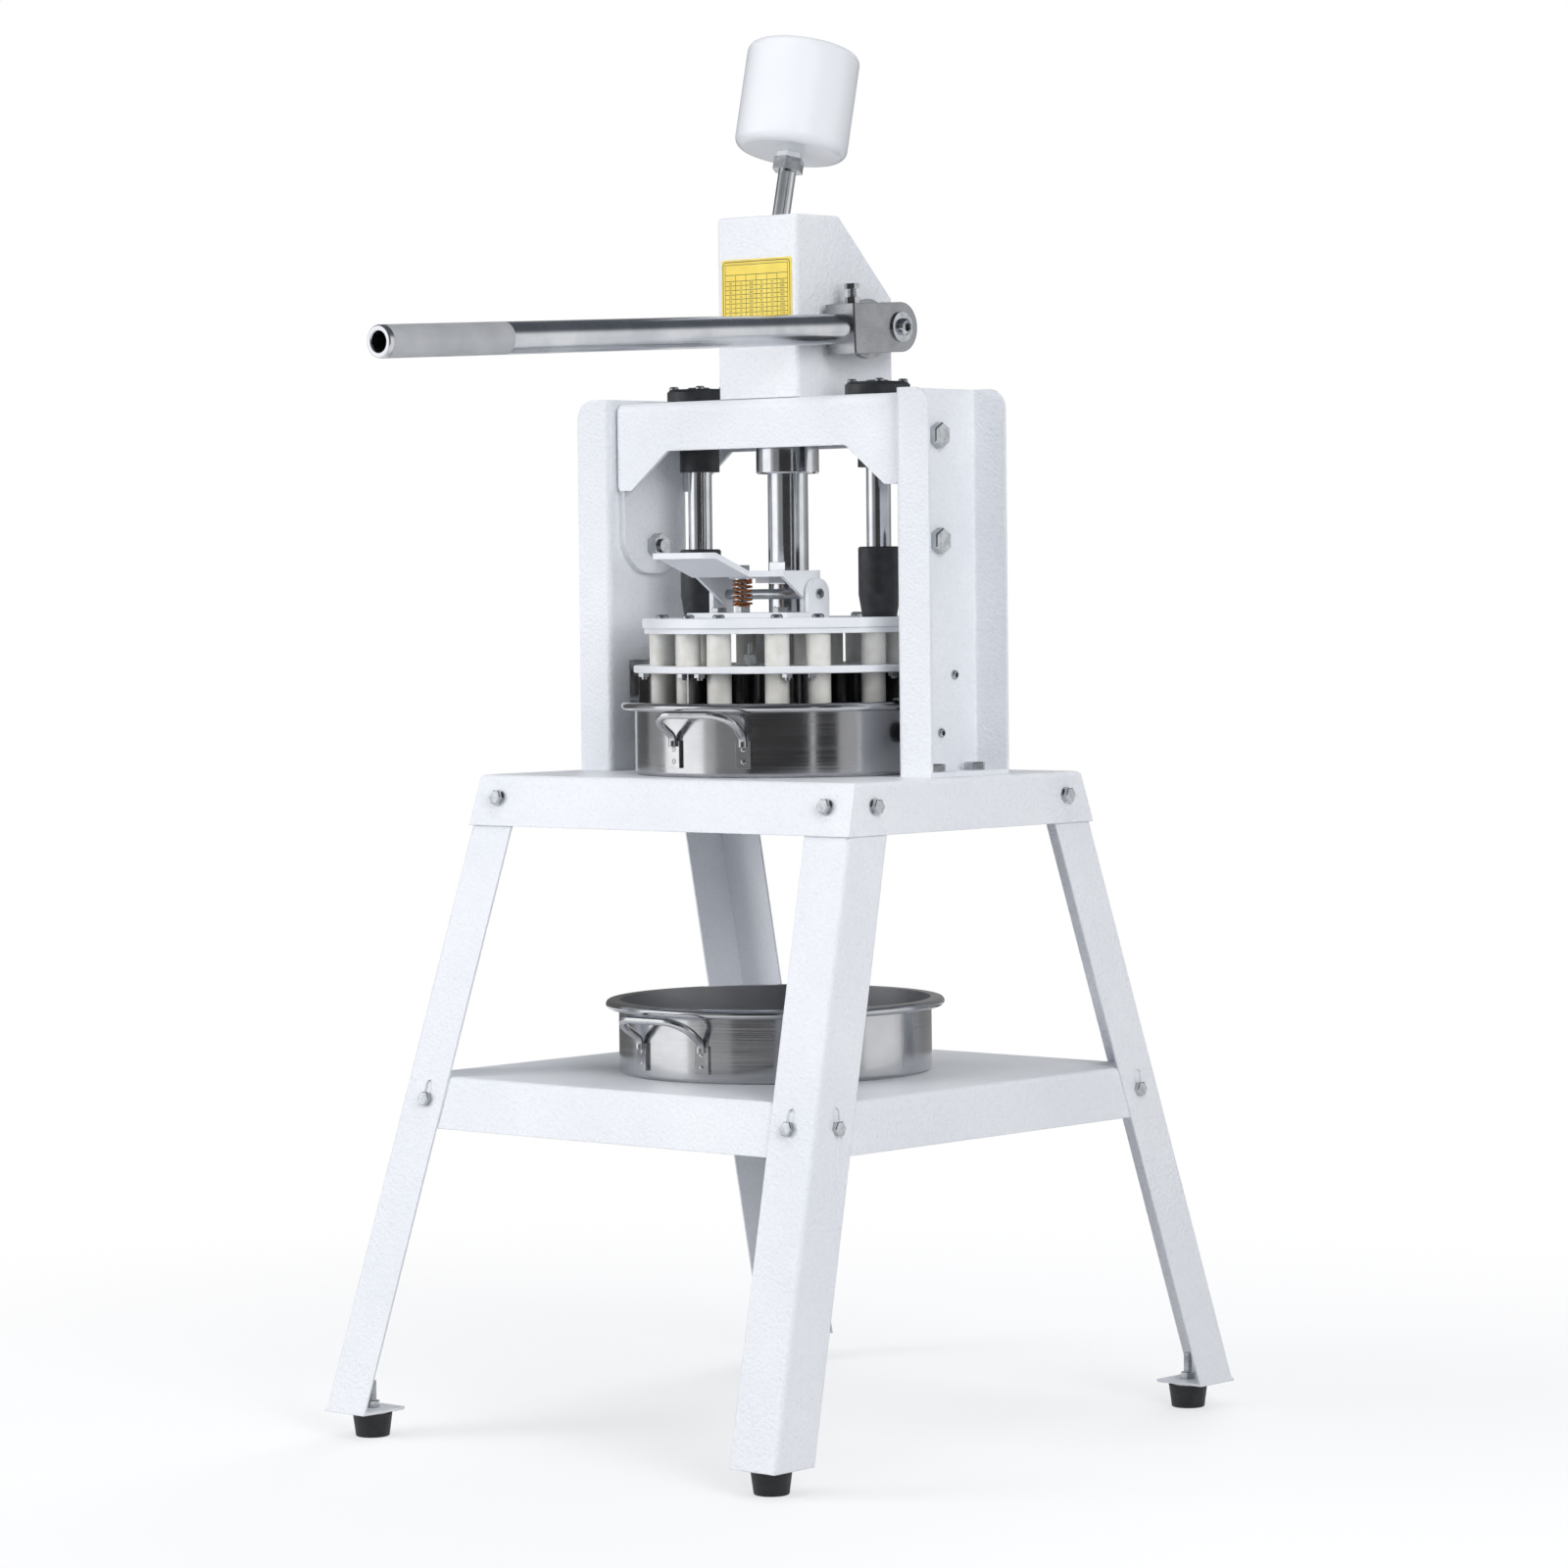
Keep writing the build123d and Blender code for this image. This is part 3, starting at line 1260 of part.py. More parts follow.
def coil_tangent(turns):
    turn = 2 * pi * turns
    rise = coil_pitch / (2 * pi)
    return Vector(-coil_radius * sin(turn), coil_radius * cos(turn), rise).normalized()


with BuildPart() as latch_spring:
    with BuildLine() as coil:
        for quarter in range(4 * spring_turns):
            here, there = coil_point(quarter / 4), coil_point((quarter + 1) / 4)
            leave, arrive = coil_tangent(quarter / 4), coil_tangent((quarter + 1) / 4)
            span = there - here
            both = leave + arrive
            k = 2 * (1 - leave.dot(arrive))
            b = span.dot(both)
            d = (sqrt(b * b + k * span.dot(span)) - b) / k
            joint = (here + there + (leave - arrive) * d) * 0.5
            first = TangentArc(here, joint, tangent=leave)
            TangentArc(joint, there, tangent=first % 1)
    with BuildSketch(Plane(coil_point(0), z_dir=coil_tangent(0))):
        Circle(spring_wire / 2)
    sweep(path=coil.wire())
keep(latch_spring, "latch_spring")

samples = [coil_point(index / 48) for index in range(48 * spring_turns + 1)]
least = 1e9
for first_index, first_point in enumerate(samples):
    for second_point in samples[first_index + 24:]:
        least = min(least, (second_point - first_point).length)
print(f"latch_spring least gap to itself {least - spring_wire:.2f} mm")


def make_pan(centre_y, base):
    wall = pan_diameter / 2
    inner = wall - pan_sheet
    rim = rim_diameter / 2 - rim_bead / 2
    top = pan_height
    with BuildPart() as pan:
        with BuildSketch(Plane((0, centre_y, base), x_dir=(1, 0, 0), z_dir=(0, -1, 0))):
            with BuildLine():
                Line((0, 0), (wall - pan_round, 0))
                TangentArc((wall - pan_round, 0), (wall, pan_round), tangent=(1, 0))
                Line((wall, pan_round), (wall, top - pan_sheet))
                Line((wall, top - pan_sheet), (rim, top - pan_sheet))
                Line((rim, top - pan_sheet), (rim, top))
                Line((rim, top), (inner, top))
                Line((inner, top), (inner, pan_round))
                arc_end = (wall - pan_round, pan_sheet)
                TangentArc((inner, pan_round), arc_end, tangent=(0, -1))
                Line(arc_end, (0, pan_sheet))
                Line((0, pan_sheet), (0, 0))
            make_face()
            with Locations((rim, top - rim_bead / 2)):
                Circle(rim_bead / 2)
        revolve(axis=Axis((0, centre_y, base), (0, 0, 1)))
    return pan


def make_handle(centre_y, base, facing):
    out_x, out_y = sin(radians(facing)), -cos(radians(facing))
    leg_radius = pan_diameter / 2 + handle_wire / 2 + hole_gap
    leg_out = sqrt(leg_radius ** 2 - handle_leg_half ** 2)
    bar_out = pan_diameter / 2 + handle_reach

    def spot(across, out, rise):
        x = across * -out_y + out * out_x
        y = across * out_x + out * out_y
        return Vector(x, centre_y + y, base + rise)

    points = []
    for side in (-1, 1):
        leg = [
            spot(side * handle_leg_half, leg_out, handle_foot_rise),
            spot(side * handle_leg_half, leg_out, handle_bend_rise),
            spot(side * handle_half, bar_out, handle_rise),
        ]
        points += leg if side < 0 else leg[::-1]
    with BuildPart() as handle:
        with BuildLine() as wire:
            rounded_path(points, (handle_bend, handle_round, handle_round, handle_bend))
        with BuildSketch(Plane(points[0], z_dir=(0, 0, 1))):
            Circle(handle_wire / 2)
        sweep(path=wire.wire())
        for side in (-1, 1):
            foot = spot(side * handle_leg_half, leg_out, strap_rise)
            away = Vector(foot.X, foot.Y - centre_y, 0).normalized()
            wall = Vector(0, centre_y, foot.Z) + away * (pan_diameter / 2 + seat_gap)
            with BuildSketch(Plane(wall + away * (strap_sheet / 2), x_dir=away, z_dir=(0, 0, 1))):
                Rectangle(strap_sheet, strap_width)
            extrude(amount=strap_height)
    return handle


upper_pan = make_pan(press_y, table_height)
keep(upper_pan, "upper_pan")
upper_pan_handle = make_handle(press_y, table_height, upper_pan_turn)
keep(upper_pan_handle, "upper_pan_handle")
lower_pan = make_pan(lower_pan_y, shelf_height)
keep(lower_pan, "lower_pan")
lower_pan_handle = make_handle(lower_pan_y, shelf_height, 0.0)
keep(lower_pan_handle, "lower_pan_handle")
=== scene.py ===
import json
import math
import bpy
import bmesh
from mathutils import Matrix, Vector

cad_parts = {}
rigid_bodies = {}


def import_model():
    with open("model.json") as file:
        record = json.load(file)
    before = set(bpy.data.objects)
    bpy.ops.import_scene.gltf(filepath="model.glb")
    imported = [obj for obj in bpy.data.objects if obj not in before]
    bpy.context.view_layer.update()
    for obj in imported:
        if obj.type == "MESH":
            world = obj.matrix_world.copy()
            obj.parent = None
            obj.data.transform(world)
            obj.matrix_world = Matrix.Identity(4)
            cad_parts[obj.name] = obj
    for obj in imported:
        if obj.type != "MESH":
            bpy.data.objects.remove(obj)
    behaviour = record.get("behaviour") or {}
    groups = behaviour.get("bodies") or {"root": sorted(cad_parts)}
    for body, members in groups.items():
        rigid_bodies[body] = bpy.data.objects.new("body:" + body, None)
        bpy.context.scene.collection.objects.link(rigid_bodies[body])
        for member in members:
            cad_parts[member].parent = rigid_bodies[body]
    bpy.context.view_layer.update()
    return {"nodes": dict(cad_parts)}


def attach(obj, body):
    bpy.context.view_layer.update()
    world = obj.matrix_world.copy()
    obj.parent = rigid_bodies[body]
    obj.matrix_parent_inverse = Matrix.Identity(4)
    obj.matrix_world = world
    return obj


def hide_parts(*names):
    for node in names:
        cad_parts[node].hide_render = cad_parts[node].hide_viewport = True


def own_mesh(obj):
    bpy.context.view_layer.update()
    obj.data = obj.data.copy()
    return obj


for leftOver in list(bpy.data.objects):
    bpy.data.objects.remove(leftOver)

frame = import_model()
nodes = frame["nodes"]
mm = 0.001
plainWhite = (1.0, 1.0, 1.0, 1.0)
print("frame loaded,", len(nodes), "nodes")


def linear(hexText):
    parts = [int(hexText[i:i + 2], 16) / 255 for i in (1, 3, 5)]
    return [p / 12.92 if p <= 0.04045 else ((p + 0.055) / 1.055) ** 2.4 for p in parts] + [1.0]


def addNode(tree, kind, inputs=None, **settings):
    node = tree.nodes.new(kind)
    for name, value in settings.items():
        setattr(node, name, value)
    for key, value in (inputs or {}).items():
        if isinstance(value, bpy.types.NodeSocket):
            tree.links.new(value, node.inputs[key])
        else:
            node.inputs[key].default_value = value
    return node


def addObject(name, data):
    item = bpy.data.objects.new(name, data)
    bpy.context.scene.collection.objects.link(item)
    return item


def blankSurface(name):
    surface = bpy.data.materials.new(name)
    surface.use_nodes = True
    surface.node_tree.nodes.clear()
    return surface, surface.node_tree


# Share of the noise's range that a pattern uses: a narrow one gives a harder pattern.
patternSpans = {
    "paintCloud": (0.35, 0.65), "metalCloud": (0.38, 0.68), "polymerCloud": (0.36, 0.66),
    "sheen": (0.3, 0.7), "paintedPitShade": (0.52, 0.30),
}
edgeWear = {"span": (0.98, 0.75), "most": 0.45, "samples": 4}   # span of the turn between flat and rounded


def startSurface(name):
    surface, tree = blankSurface(name)
    shader = addNode(tree, "ShaderNodeBsdfPrincipled")
    addNode(tree, "ShaderNodeOutputMaterial", {"Surface": shader.outputs[0]})
    place = addNode(tree, "ShaderNodeTexCoord").outputs["Object"]
    return surface, tree, shader, place


def mottle(tree, place, look, span):
    cloud = addNode(tree, "ShaderNodeTexNoise", {
        "Vector": place, "Scale": 1 / (look["cloud"] * mm), "Detail": 3.0})
    low, high = patternSpans[span]
    tone = addNode(tree, "ShaderNodeMapRange", {
        "Value": cloud.outputs[0], "From Min": low, "From Max": high})
    return addNode(tree, "ShaderNodeMix", {
        0: tone.outputs[0], 6: linear(look["colour"]), 7: linear(look["dull"])}, data_type="RGBA")


def drawMarks(tree, ground, look, detail):
    lay = addNode(tree, "ShaderNodeMapping", {
        "Vector": ground, "Scale": [1 / (gap * mm) for gap in look["lines"]]})
    return addNode(tree, "ShaderNodeTexNoise", {"Vector": lay.outputs[0], "Scale": 1.0, "Detail": detail})


# Height and gloss follow one pattern, as scratches and pebbles do on a real surface.
def relieve(tree, pattern, look, bent=None):
    height = {"Height": pattern.outputs[0], "Strength": 1.0, "Distance": look["depth"] * mm}
    if bent:
        height["Normal"] = bent.outputs[0]
    low, high = patternSpans["sheen"]
    sheen = addNode(tree, "ShaderNodeMapRange", {
        "Value": pattern.outputs[0], "From Min": low, "From Max": high,
        "To Min": look["rough"][0], "To Max": look["rough"][1]})
    return addNode(tree, "ShaderNodeBump", height).outputs[0], sheen.outputs[0]


def bindSurface(tree, shader, colour, rough, normal):
    tree.links.new(colour, shader.inputs["Base Color"])
    tree.links.new(rough, shader.inputs["Roughness"])
    tree.links.new(normal, shader.inputs["Normal"])


def dress(names, surface):
    for name in names.split():
        nodes[name].material_slots[0].material = surface


# Paints. Sprayed polyester powder melts into a hard skin: white with a cool cast, a pebbled sheen on
# the folded sheet, a little thinner and greyer along sharp edges, and painted shade in the pebbles'
# hollows.
paints = {
    "texturedPowderCoat": {
        "colour": "#EEF0F4", "dull": "#E7EAEF", "thin": "#CFD3D9", "cloud": 160.0,
        # the third value is the most painted shade put into the hollows of the grain
        "grain": 3.4, "depth": 1.2, "pitShadeMost": 0.18,   # grit of about 2 to 3 mm, drawn coarser to show
        "rough": (0.30, 0.42), "edge": 1.1,
    },
    "smoothPowderCoat": {
        "colour": "#ECEEF2", "dull": "#E3E6EB", "thin": "#C9CDD3", "cloud": 60.0,
        "grain": 1.8, "depth": 0.03, "pitShadeMost": 0.0, "rough": (0.28, 0.36), "edge": 0.8,
    },
    "glossEnamel": {
        "colour": "#EEF0F4", "dull": "#EAEDF1", "thin": "#DDE0E5", "cloud": 90.0,
        "grain": 9.0, "depth": 0.02, "pitShadeMost": 0.0,   # long, shallow flow marks
        "rough": (0.16, 0.22), "edge": 0.8,
    },
}

paintIor = 1.5


def makePaint(name):
    look = paints[name]
    surface, tree, shader, place = startSurface(name)
    skin = mottle(tree, place, look, "paintCloud")
    rounded = addNode(tree, "ShaderNodeBevel", {
        "Radius": look["edge"] * mm}, samples=edgeWear["samples"])
    flat = addNode(tree, "ShaderNodeNewGeometry")
    turn = addNode(tree, "ShaderNodeVectorMath", {
        0: rounded.outputs[0], 1: flat.outputs["Normal"]}, operation="DOT_PRODUCT")
    low, high = edgeWear["span"]
    thin = addNode(tree, "ShaderNodeMapRange", {
        "Value": turn.outputs["Value"], "From Min": low, "From Max": high, "To Max": edgeWear["most"]})
    coat = addNode(tree, "ShaderNodeMix", {
        0: thin.outputs[0], 6: skin.outputs[2], 7: linear(look["thin"])}, data_type="RGBA")
    grain = addNode(tree, "ShaderNodeTexNoise", {
        "Vector": place, "Scale": 1 / (look["grain"] * mm), "Detail": 2.0, "Roughness": 0.55})
    pebble, sheen = relieve(tree, grain, look, rounded)
    # Painted shade: the hollows of the grain are mixed towards the thin-coat grey, as if they lay in
    # shadow.
    low, high = patternSpans["paintedPitShade"]
    paintedPitShade = addNode(tree, "ShaderNodeMapRange", {
        "Value": grain.outputs[0], "From Min": low, "From Max": high, "To Max": look["pitShadeMost"]})
    pitShadedCoat = addNode(tree, "ShaderNodeMix", {
        0: paintedPitShade.outputs[0], 6: coat.outputs[2], 7: linear(look["thin"])}, data_type="RGBA")
    bindSurface(tree, shader, pitShadedCoat.outputs[2], sheen, pebble)
    shader.inputs["IOR"].default_value = paintIor
    return surface


# Metals. Lines are the spacing in mm of grinding or brushing marks along x, y and z: a large
# value runs the marks that way. Real marks are finer and are drawn coarse enough to show.
metals = {
    "chromedBarUpright": {   # hard chrome on a ground bar: mirror bright, faint rings
        "colour": "#DADCE0", "dull": "#C6C9CE", "cloud": 40.0, "lines": (60.0, 60.0, 0.8),
        "depth": 0.004, "rough": (0.10, 0.18), "edge": 0.5,
    },
    "chromedTube": {         # drawn and chromed tube along y
        "colour": "#D2D4D8", "dull": "#BFC2C7", "cloud": 40.0, "lines": (50.0, 0.9, 50.0),
        "depth": 0.004, "rough": (0.19, 0.27), "edge": 0.5,
    },
    "chromedTurning": {      # turned hub and shaft along x
        "colour": "#CFD1D5", "dull": "#BBBEC3", "cloud": 30.0, "lines": (0.8, 40.0, 40.0),
        "depth": 0.005, "rough": (0.14, 0.24), "edge": 0.5,
    },
    "knurledChrome": {       # chrome over fine rolled diamonds: pale and matt, no mirror image
        "colour": "#C2C4C7", "dull": "#B4B6BA", "cloud": 40.0, "lines": (50.0, 0.9, 50.0),
        "depth": 0.004, "rough": (0.36, 0.46), "edge": 0.1, "metal": 0.35,
    },
    "satinChrome": {         # bent bar with a satin plating
        "colour": "#A1A3A7", "dull": "#919397", "cloud": 25.0, "lines": (30.0, 12.0, 1.1),
        "depth": 0.002, "rough": (0.24, 0.34), "edge": 0.9,
    },
    "brightZinc": {          # zinc plate, cloudy and slightly blue
        "colour": "#C2C5C9", "dull": "#A5A9AD", "cloud": 7.0, "lines": (1.6, 1.6, 1.6),
        "depth": 0.012, "rough": (0.15, 0.27), "edge": 0.4,
    },
    "rolledStainless": {     # bright rolled sheet, almost a mirror
        "colour": "#A6A7A9", "dull": "#939496", "cloud": 60.0, "lines": (40.0, 40.0, 1.0),
        "depth": 0.004, "rough": (0.10, 0.18), "edge": 0.5,
    },
    "wireStainless": {       # drawn wire: bright, with soft die marks
        "colour": "#CCCDCF", "dull": "#B9BABC", "cloud": 20.0, "lines": (8.0, 8.0, 8.0),
        "depth": 0.006, "rough": (0.12, 0.20), "edge": 0.5,
    },
    "upperPanStainless": {   # spun sheet: polishing rings round the pan's own axis
        "colour": "#C4C5C8", "dull": "#B0B1B4", "cloud": 80.0, "lines": (0.8, 0.8, 90.0),
        "depth": 0.005, "rough": (0.11, 0.21), "edge": 0.4, "centre": (0.0, 18.0), "worn": 0.42,
    },
    "lowerPanStainless": {   # as the other pan, round its own axis
        "colour": "#C4C5C8", "dull": "#B0B1B4", "cloud": 80.0, "lines": (0.8, 0.8, 90.0),
        "depth": 0.005, "rough": (0.11, 0.21), "edge": 0.4, "centre": (0.0, -9.0), "worn": 0.42,
    },
    "machinedSteel": {       # milled and turned faces: grey, with fine tool marks
        "colour": "#A9ABAE", "dull": "#8E9194", "cloud": 15.0, "lines": (0.9, 20.0, 20.0),
        "depth": 0.010, "rough": (0.26, 0.38), "edge": 0.5,
    },
    "copperedWire": {        # copper wash on hard-drawn spring wire, darker where it rubs
        "colour": "#C07E52", "dull": "#7A4B33", "cloud": 3.0, "lines": (5.0, 5.0, 1.2),
        "depth": 0.006, "rough": (0.18, 0.32), "edge": 0.2,
    },
}

panInside = 154.5   # radius in mm


def makeMetal(name):
    look = metals[name]
    surface, tree, shader, place = startSurface(name)
    plate = mottle(tree, place, look, "metalCloud")
    ground = place
    if "centre" in look:   # radius, height and a slow drift stand in for x, y and z
        x, y = look["centre"]
        shifted = addNode(tree, "ShaderNodeMapping", {
            "Vector": place, "Location": (-x * mm, -y * mm, 0.0)})
        plan = addNode(tree, "ShaderNodeVectorMath", {
            0: shifted.outputs[0], 1: (1.0, 1.0, 0.0)}, operation="MULTIPLY")
        radius = addNode(tree, "ShaderNodeVectorMath", {0: plan.outputs[0]}, operation="LENGTH")
        apart = addNode(tree, "ShaderNodeSeparateXYZ", {0: place})
        ground = addNode(tree, "ShaderNodeCombineXYZ", {
            0: radius.outputs["Value"], 1: apart.outputs[2], 2: apart.outputs[0]}).outputs[0]
    streak = drawMarks(tree, ground, look, 3.0)
    rounded = addNode(tree, "ShaderNodeBevel", {
        "Radius": look["edge"] * mm}, samples=edgeWear["samples"])
    marks, sheen = relieve(tree, streak, look, rounded)
    if "worn" in look:   # the inside of a pan is scoured dull
        inside = addNode(tree, "ShaderNodeMath", {
            0: radius.outputs["Value"], 1: panInside * mm}, operation="LESS_THAN")
        sheen = addNode(tree, "ShaderNodeMix", {
            0: inside.outputs[0], 2: sheen, 3: look["worn"]}).outputs[0]
    bindSurface(tree, shader, plate.outputs[2], sheen, marks)
    shader.inputs["Metallic"].default_value = look.get("metal", 1.0)
    return surface


# Polymers and print: moulded, turned or printed, so dielectric with a soft sheen.
polymers = {
    "blackNylon": {       # turned black polyamide: deep grey with turning rings
        "colour": "#1D1F22", "dull": "#292C30", "cloud": 9.0, "lines": (30.0, 30.0, 0.9),
        "depth": 0.02, "rough": (0.38, 0.52), "ior": 1.53, "glow": 0.0,
    },
    "blackRubber": {      # moulded natural rubber: matt, slightly dusty
        "colour": "#111214", "dull": "#1E1F22", "cloud": 6.0, "lines": (0.9, 0.9, 0.9),
        "depth": 0.03, "rough": (0.50, 0.66), "ior": 1.52, "glow": 0.0,
    },
    "naturalNylon": {     # unfilled polyamide: ivory, waxy, light goes a little way in
        "colour": "#E5E4E0", "dull": "#D8D6D0", "cloud": 14.0, "lines": (12.0, 12.0, 1.3),
        "depth": 0.012, "rough": (0.34, 0.46), "ior": 1.53, "glow": 0.35,
    },
    "yellowFoil": {       # screen-printed plate, clear lacquer on top
        "colour": "#EFD75C", "dull": "#E6CC4F", "cloud": 22.0, "lines": (1.2, 1.2, 1.2),
        "depth": 0.006, "rough": (0.28, 0.38), "ior": 1.49, "glow": 0.0,
    },
    "printInk": {         # thin screen ink: dark, a little washed out
        "colour": "#33322B", "dull": "#4A4738", "cloud": 5.0, "lines": (0.8, 0.8, 0.8),
        "depth": 0.002, "rough": (0.35, 0.5), "ior": 1.49, "glow": 0.0,
    },
}

glowTint = (1.0, 0.95, 0.8)
glowDepth = 3.0   # mm that light goes into the ivory polyamide


def makePolymer(name):
    look = polymers[name]
    surface, tree, shader, place = startSurface(name)
    body = mottle(tree, place, look, "polymerCloud")
    marks, sheen = relieve(tree, drawMarks(tree, place, look, 2.0), look)
    bindSurface(tree, shader, body.outputs[2], sheen, marks)
    shader.inputs["IOR"].default_value = look["ior"]
    if look["glow"]:
        shader.inputs["Subsurface Weight"].default_value = look["glow"]
        shader.inputs["Subsurface Radius"].default_value = glowTint
        shader.inputs["Subsurface Scale"].default_value = glowDepth * mm
    return surface


surfaces = {name: makePaint(name) for name in paints}
surfaces.update({name: makeMetal(name) for name in metals})
surfaces.update({name: makePolymer(name) for name in polymers})
print("materials made:", len(surfaces))

finishes = {
    "texturedPowderCoat": """table_top shelf leg_front_left leg_front_right leg_rear_left leg_rear_right
        left_upright right_upright crosshead gear_cover""",
    "smoothPowderCoat": "latch_bracket latch_pedal upper_disc lower_disc knife_plate",
    "glossEnamel": "counterweight",
    "chromedBarUpright": "ram left_guide_rod right_guide_rod weight_rod ram_bush",
    "chromedTube": "lever_tube",
    "chromedTurning": "lever_shaft lever_socket weight_hub",
    "satinChrome": "lever_bracket",
    "brightZinc": """stand_bolts foot_studs upright_bolts crosshead_bolts bush_screws
        hold_down_screws lever_lock_bolt shaft_end_screws weight_nut disc_screws spring_bolt
        knife_bolts stop_stud latch_pin""",
    "rolledStainless": "knives left_hold_down right_hold_down",
    "wireStainless": "upper_pan_handle lower_pan_handle",
    "upperPanStainless": "upper_pan",
    "lowerPanStainless": "lower_pan",
    "machinedSteel": "pinion bearing_plates shaft_bearings",
    "blackNylon": "left_rod_bush right_rod_bush rod_sleeves",
    "blackRubber": "foot_pads pan_buffers",
    "naturalNylon": "pusher_columns pushers",
    "yellowFoil": "chart_plate",
}
for finish, names in finishes.items():
    dress(names, surfaces[finish])
print("CAD nodes dressed:", sum(len(names.split()) for names in finishes.values()))


def openTree(name, sockets):
    tree = bpy.data.node_groups.new(name, "GeometryNodeTree")
    for label, kind in sockets.items():
        tree.interface.new_socket(label, in_out="INPUT", socket_type="NodeSocket" + kind)
    tree.interface.new_socket("Geometry", in_out="OUTPUT", socket_type="NodeSocketGeometry")
    return tree, addNode(tree, "NodeGroupInput").outputs


def closeTree(tree, geometry, given, smooth):
    real = addNode(tree, "GeometryNodeRealizeInstances", {0: geometry})
    shaded = addNode(tree, "GeometryNodeSetShadeSmooth", {
        "Geometry": real.outputs[0], "Shade Smooth": smooth})
    coated = addNode(tree, "GeometryNodeSetMaterial", {
        "Geometry": shaded.outputs[0], "Material": given["Material"]})
    addNode(tree, "NodeGroupOutput", {0: coated.outputs[0]})
    return tree


mostEdges = 6.0   # a wire with more sides than this is shaded round

# A wire wound round z: closed turns lie wire on wire at both ends. Four sides give a thread.
def buildCoilTree():
    tree, given = openTree("woundWire", {
        "Radius": "Float", "Wire": "Float", "Height": "Float", "Turns": "Float", "Closed": "Float",
        "Steps": "Int", "Sides": "Int", "Material": "Material"})
    ring = addNode(tree, "GeometryNodeCurveSpiral", {
        "Resolution": given["Steps"], "Rotations": given["Turns"], "Height": 0.0,
        "Start Radius": given["Radius"], "End Radius": given["Radius"]})
    along = addNode(tree, "GeometryNodeSplineParameter").outputs["Factor"]
    share = addNode(tree, "ShaderNodeMath", {0: given["Closed"], 1: given["Turns"]}, operation="DIVIDE")
    rest = addNode(tree, "ShaderNodeMath", {0: 1.0, 1: share.outputs[0]}, operation="SUBTRACT")
    stack = addNode(tree, "ShaderNodeMath", {0: given["Closed"], 1: given["Wire"]}, operation="MULTIPLY")
    both = addNode(tree, "ShaderNodeMath", {0: stack.outputs[0], 1: 2.0}, operation="MULTIPLY")
    between = addNode(tree, "ShaderNodeMath", {
        0: given["Height"], 1: both.outputs[0]}, operation="SUBTRACT")
    foot = addNode(tree, "ShaderNodeMapRange", {
        "Value": along, "From Min": 0.0, "From Max": share.outputs[0], "To Max": stack.outputs[0]})
    middle = addNode(tree, "ShaderNodeMapRange", {
        "Value": along, "From Min": share.outputs[0], "From Max": rest.outputs[0],
        "To Max": between.outputs[0]})
    head = addNode(tree, "ShaderNodeMapRange", {
        "Value": along, "From Min": rest.outputs[0], "From Max": 1.0, "To Max": stack.outputs[0]})
    low = addNode(tree, "ShaderNodeMath", {0: foot.outputs[0], 1: middle.outputs[0]})
    rise = addNode(tree, "ShaderNodeMath", {0: low.outputs[0], 1: head.outputs[0]})
    lift = addNode(tree, "ShaderNodeCombineXYZ", {2: rise.outputs[0]})
    wound = addNode(tree, "GeometryNodeSetPosition", {
        "Geometry": ring.outputs[0], "Offset": lift.outputs[0]})
    upright = addNode(tree, "GeometryNodeSetCurveNormal", {"Curve": wound.outputs[0]}, mode="Z_UP")
    half = addNode(tree, "ShaderNodeMath", {0: given["Wire"], 1: 0.5}, operation="MULTIPLY")
    section = addNode(tree, "GeometryNodeCurvePrimitiveCircle", {
        "Resolution": given["Sides"], "Radius": half.outputs[0]})
    tube = addNode(tree, "GeometryNodeCurveToMesh", {
        "Curve": upright.outputs[0], "Profile Curve": section.outputs[0], "Fill Caps": True})
    many = addNode(tree, "FunctionNodeCompare", {
        0: given["Sides"], 1: mostEdges}, operation="GREATER_THAN")
    return closeTree(tree, tube.outputs[0], given, many.outputs[0])


knurlSeam = 0.01   # mm, within which the two edges of the rolled sheet are one

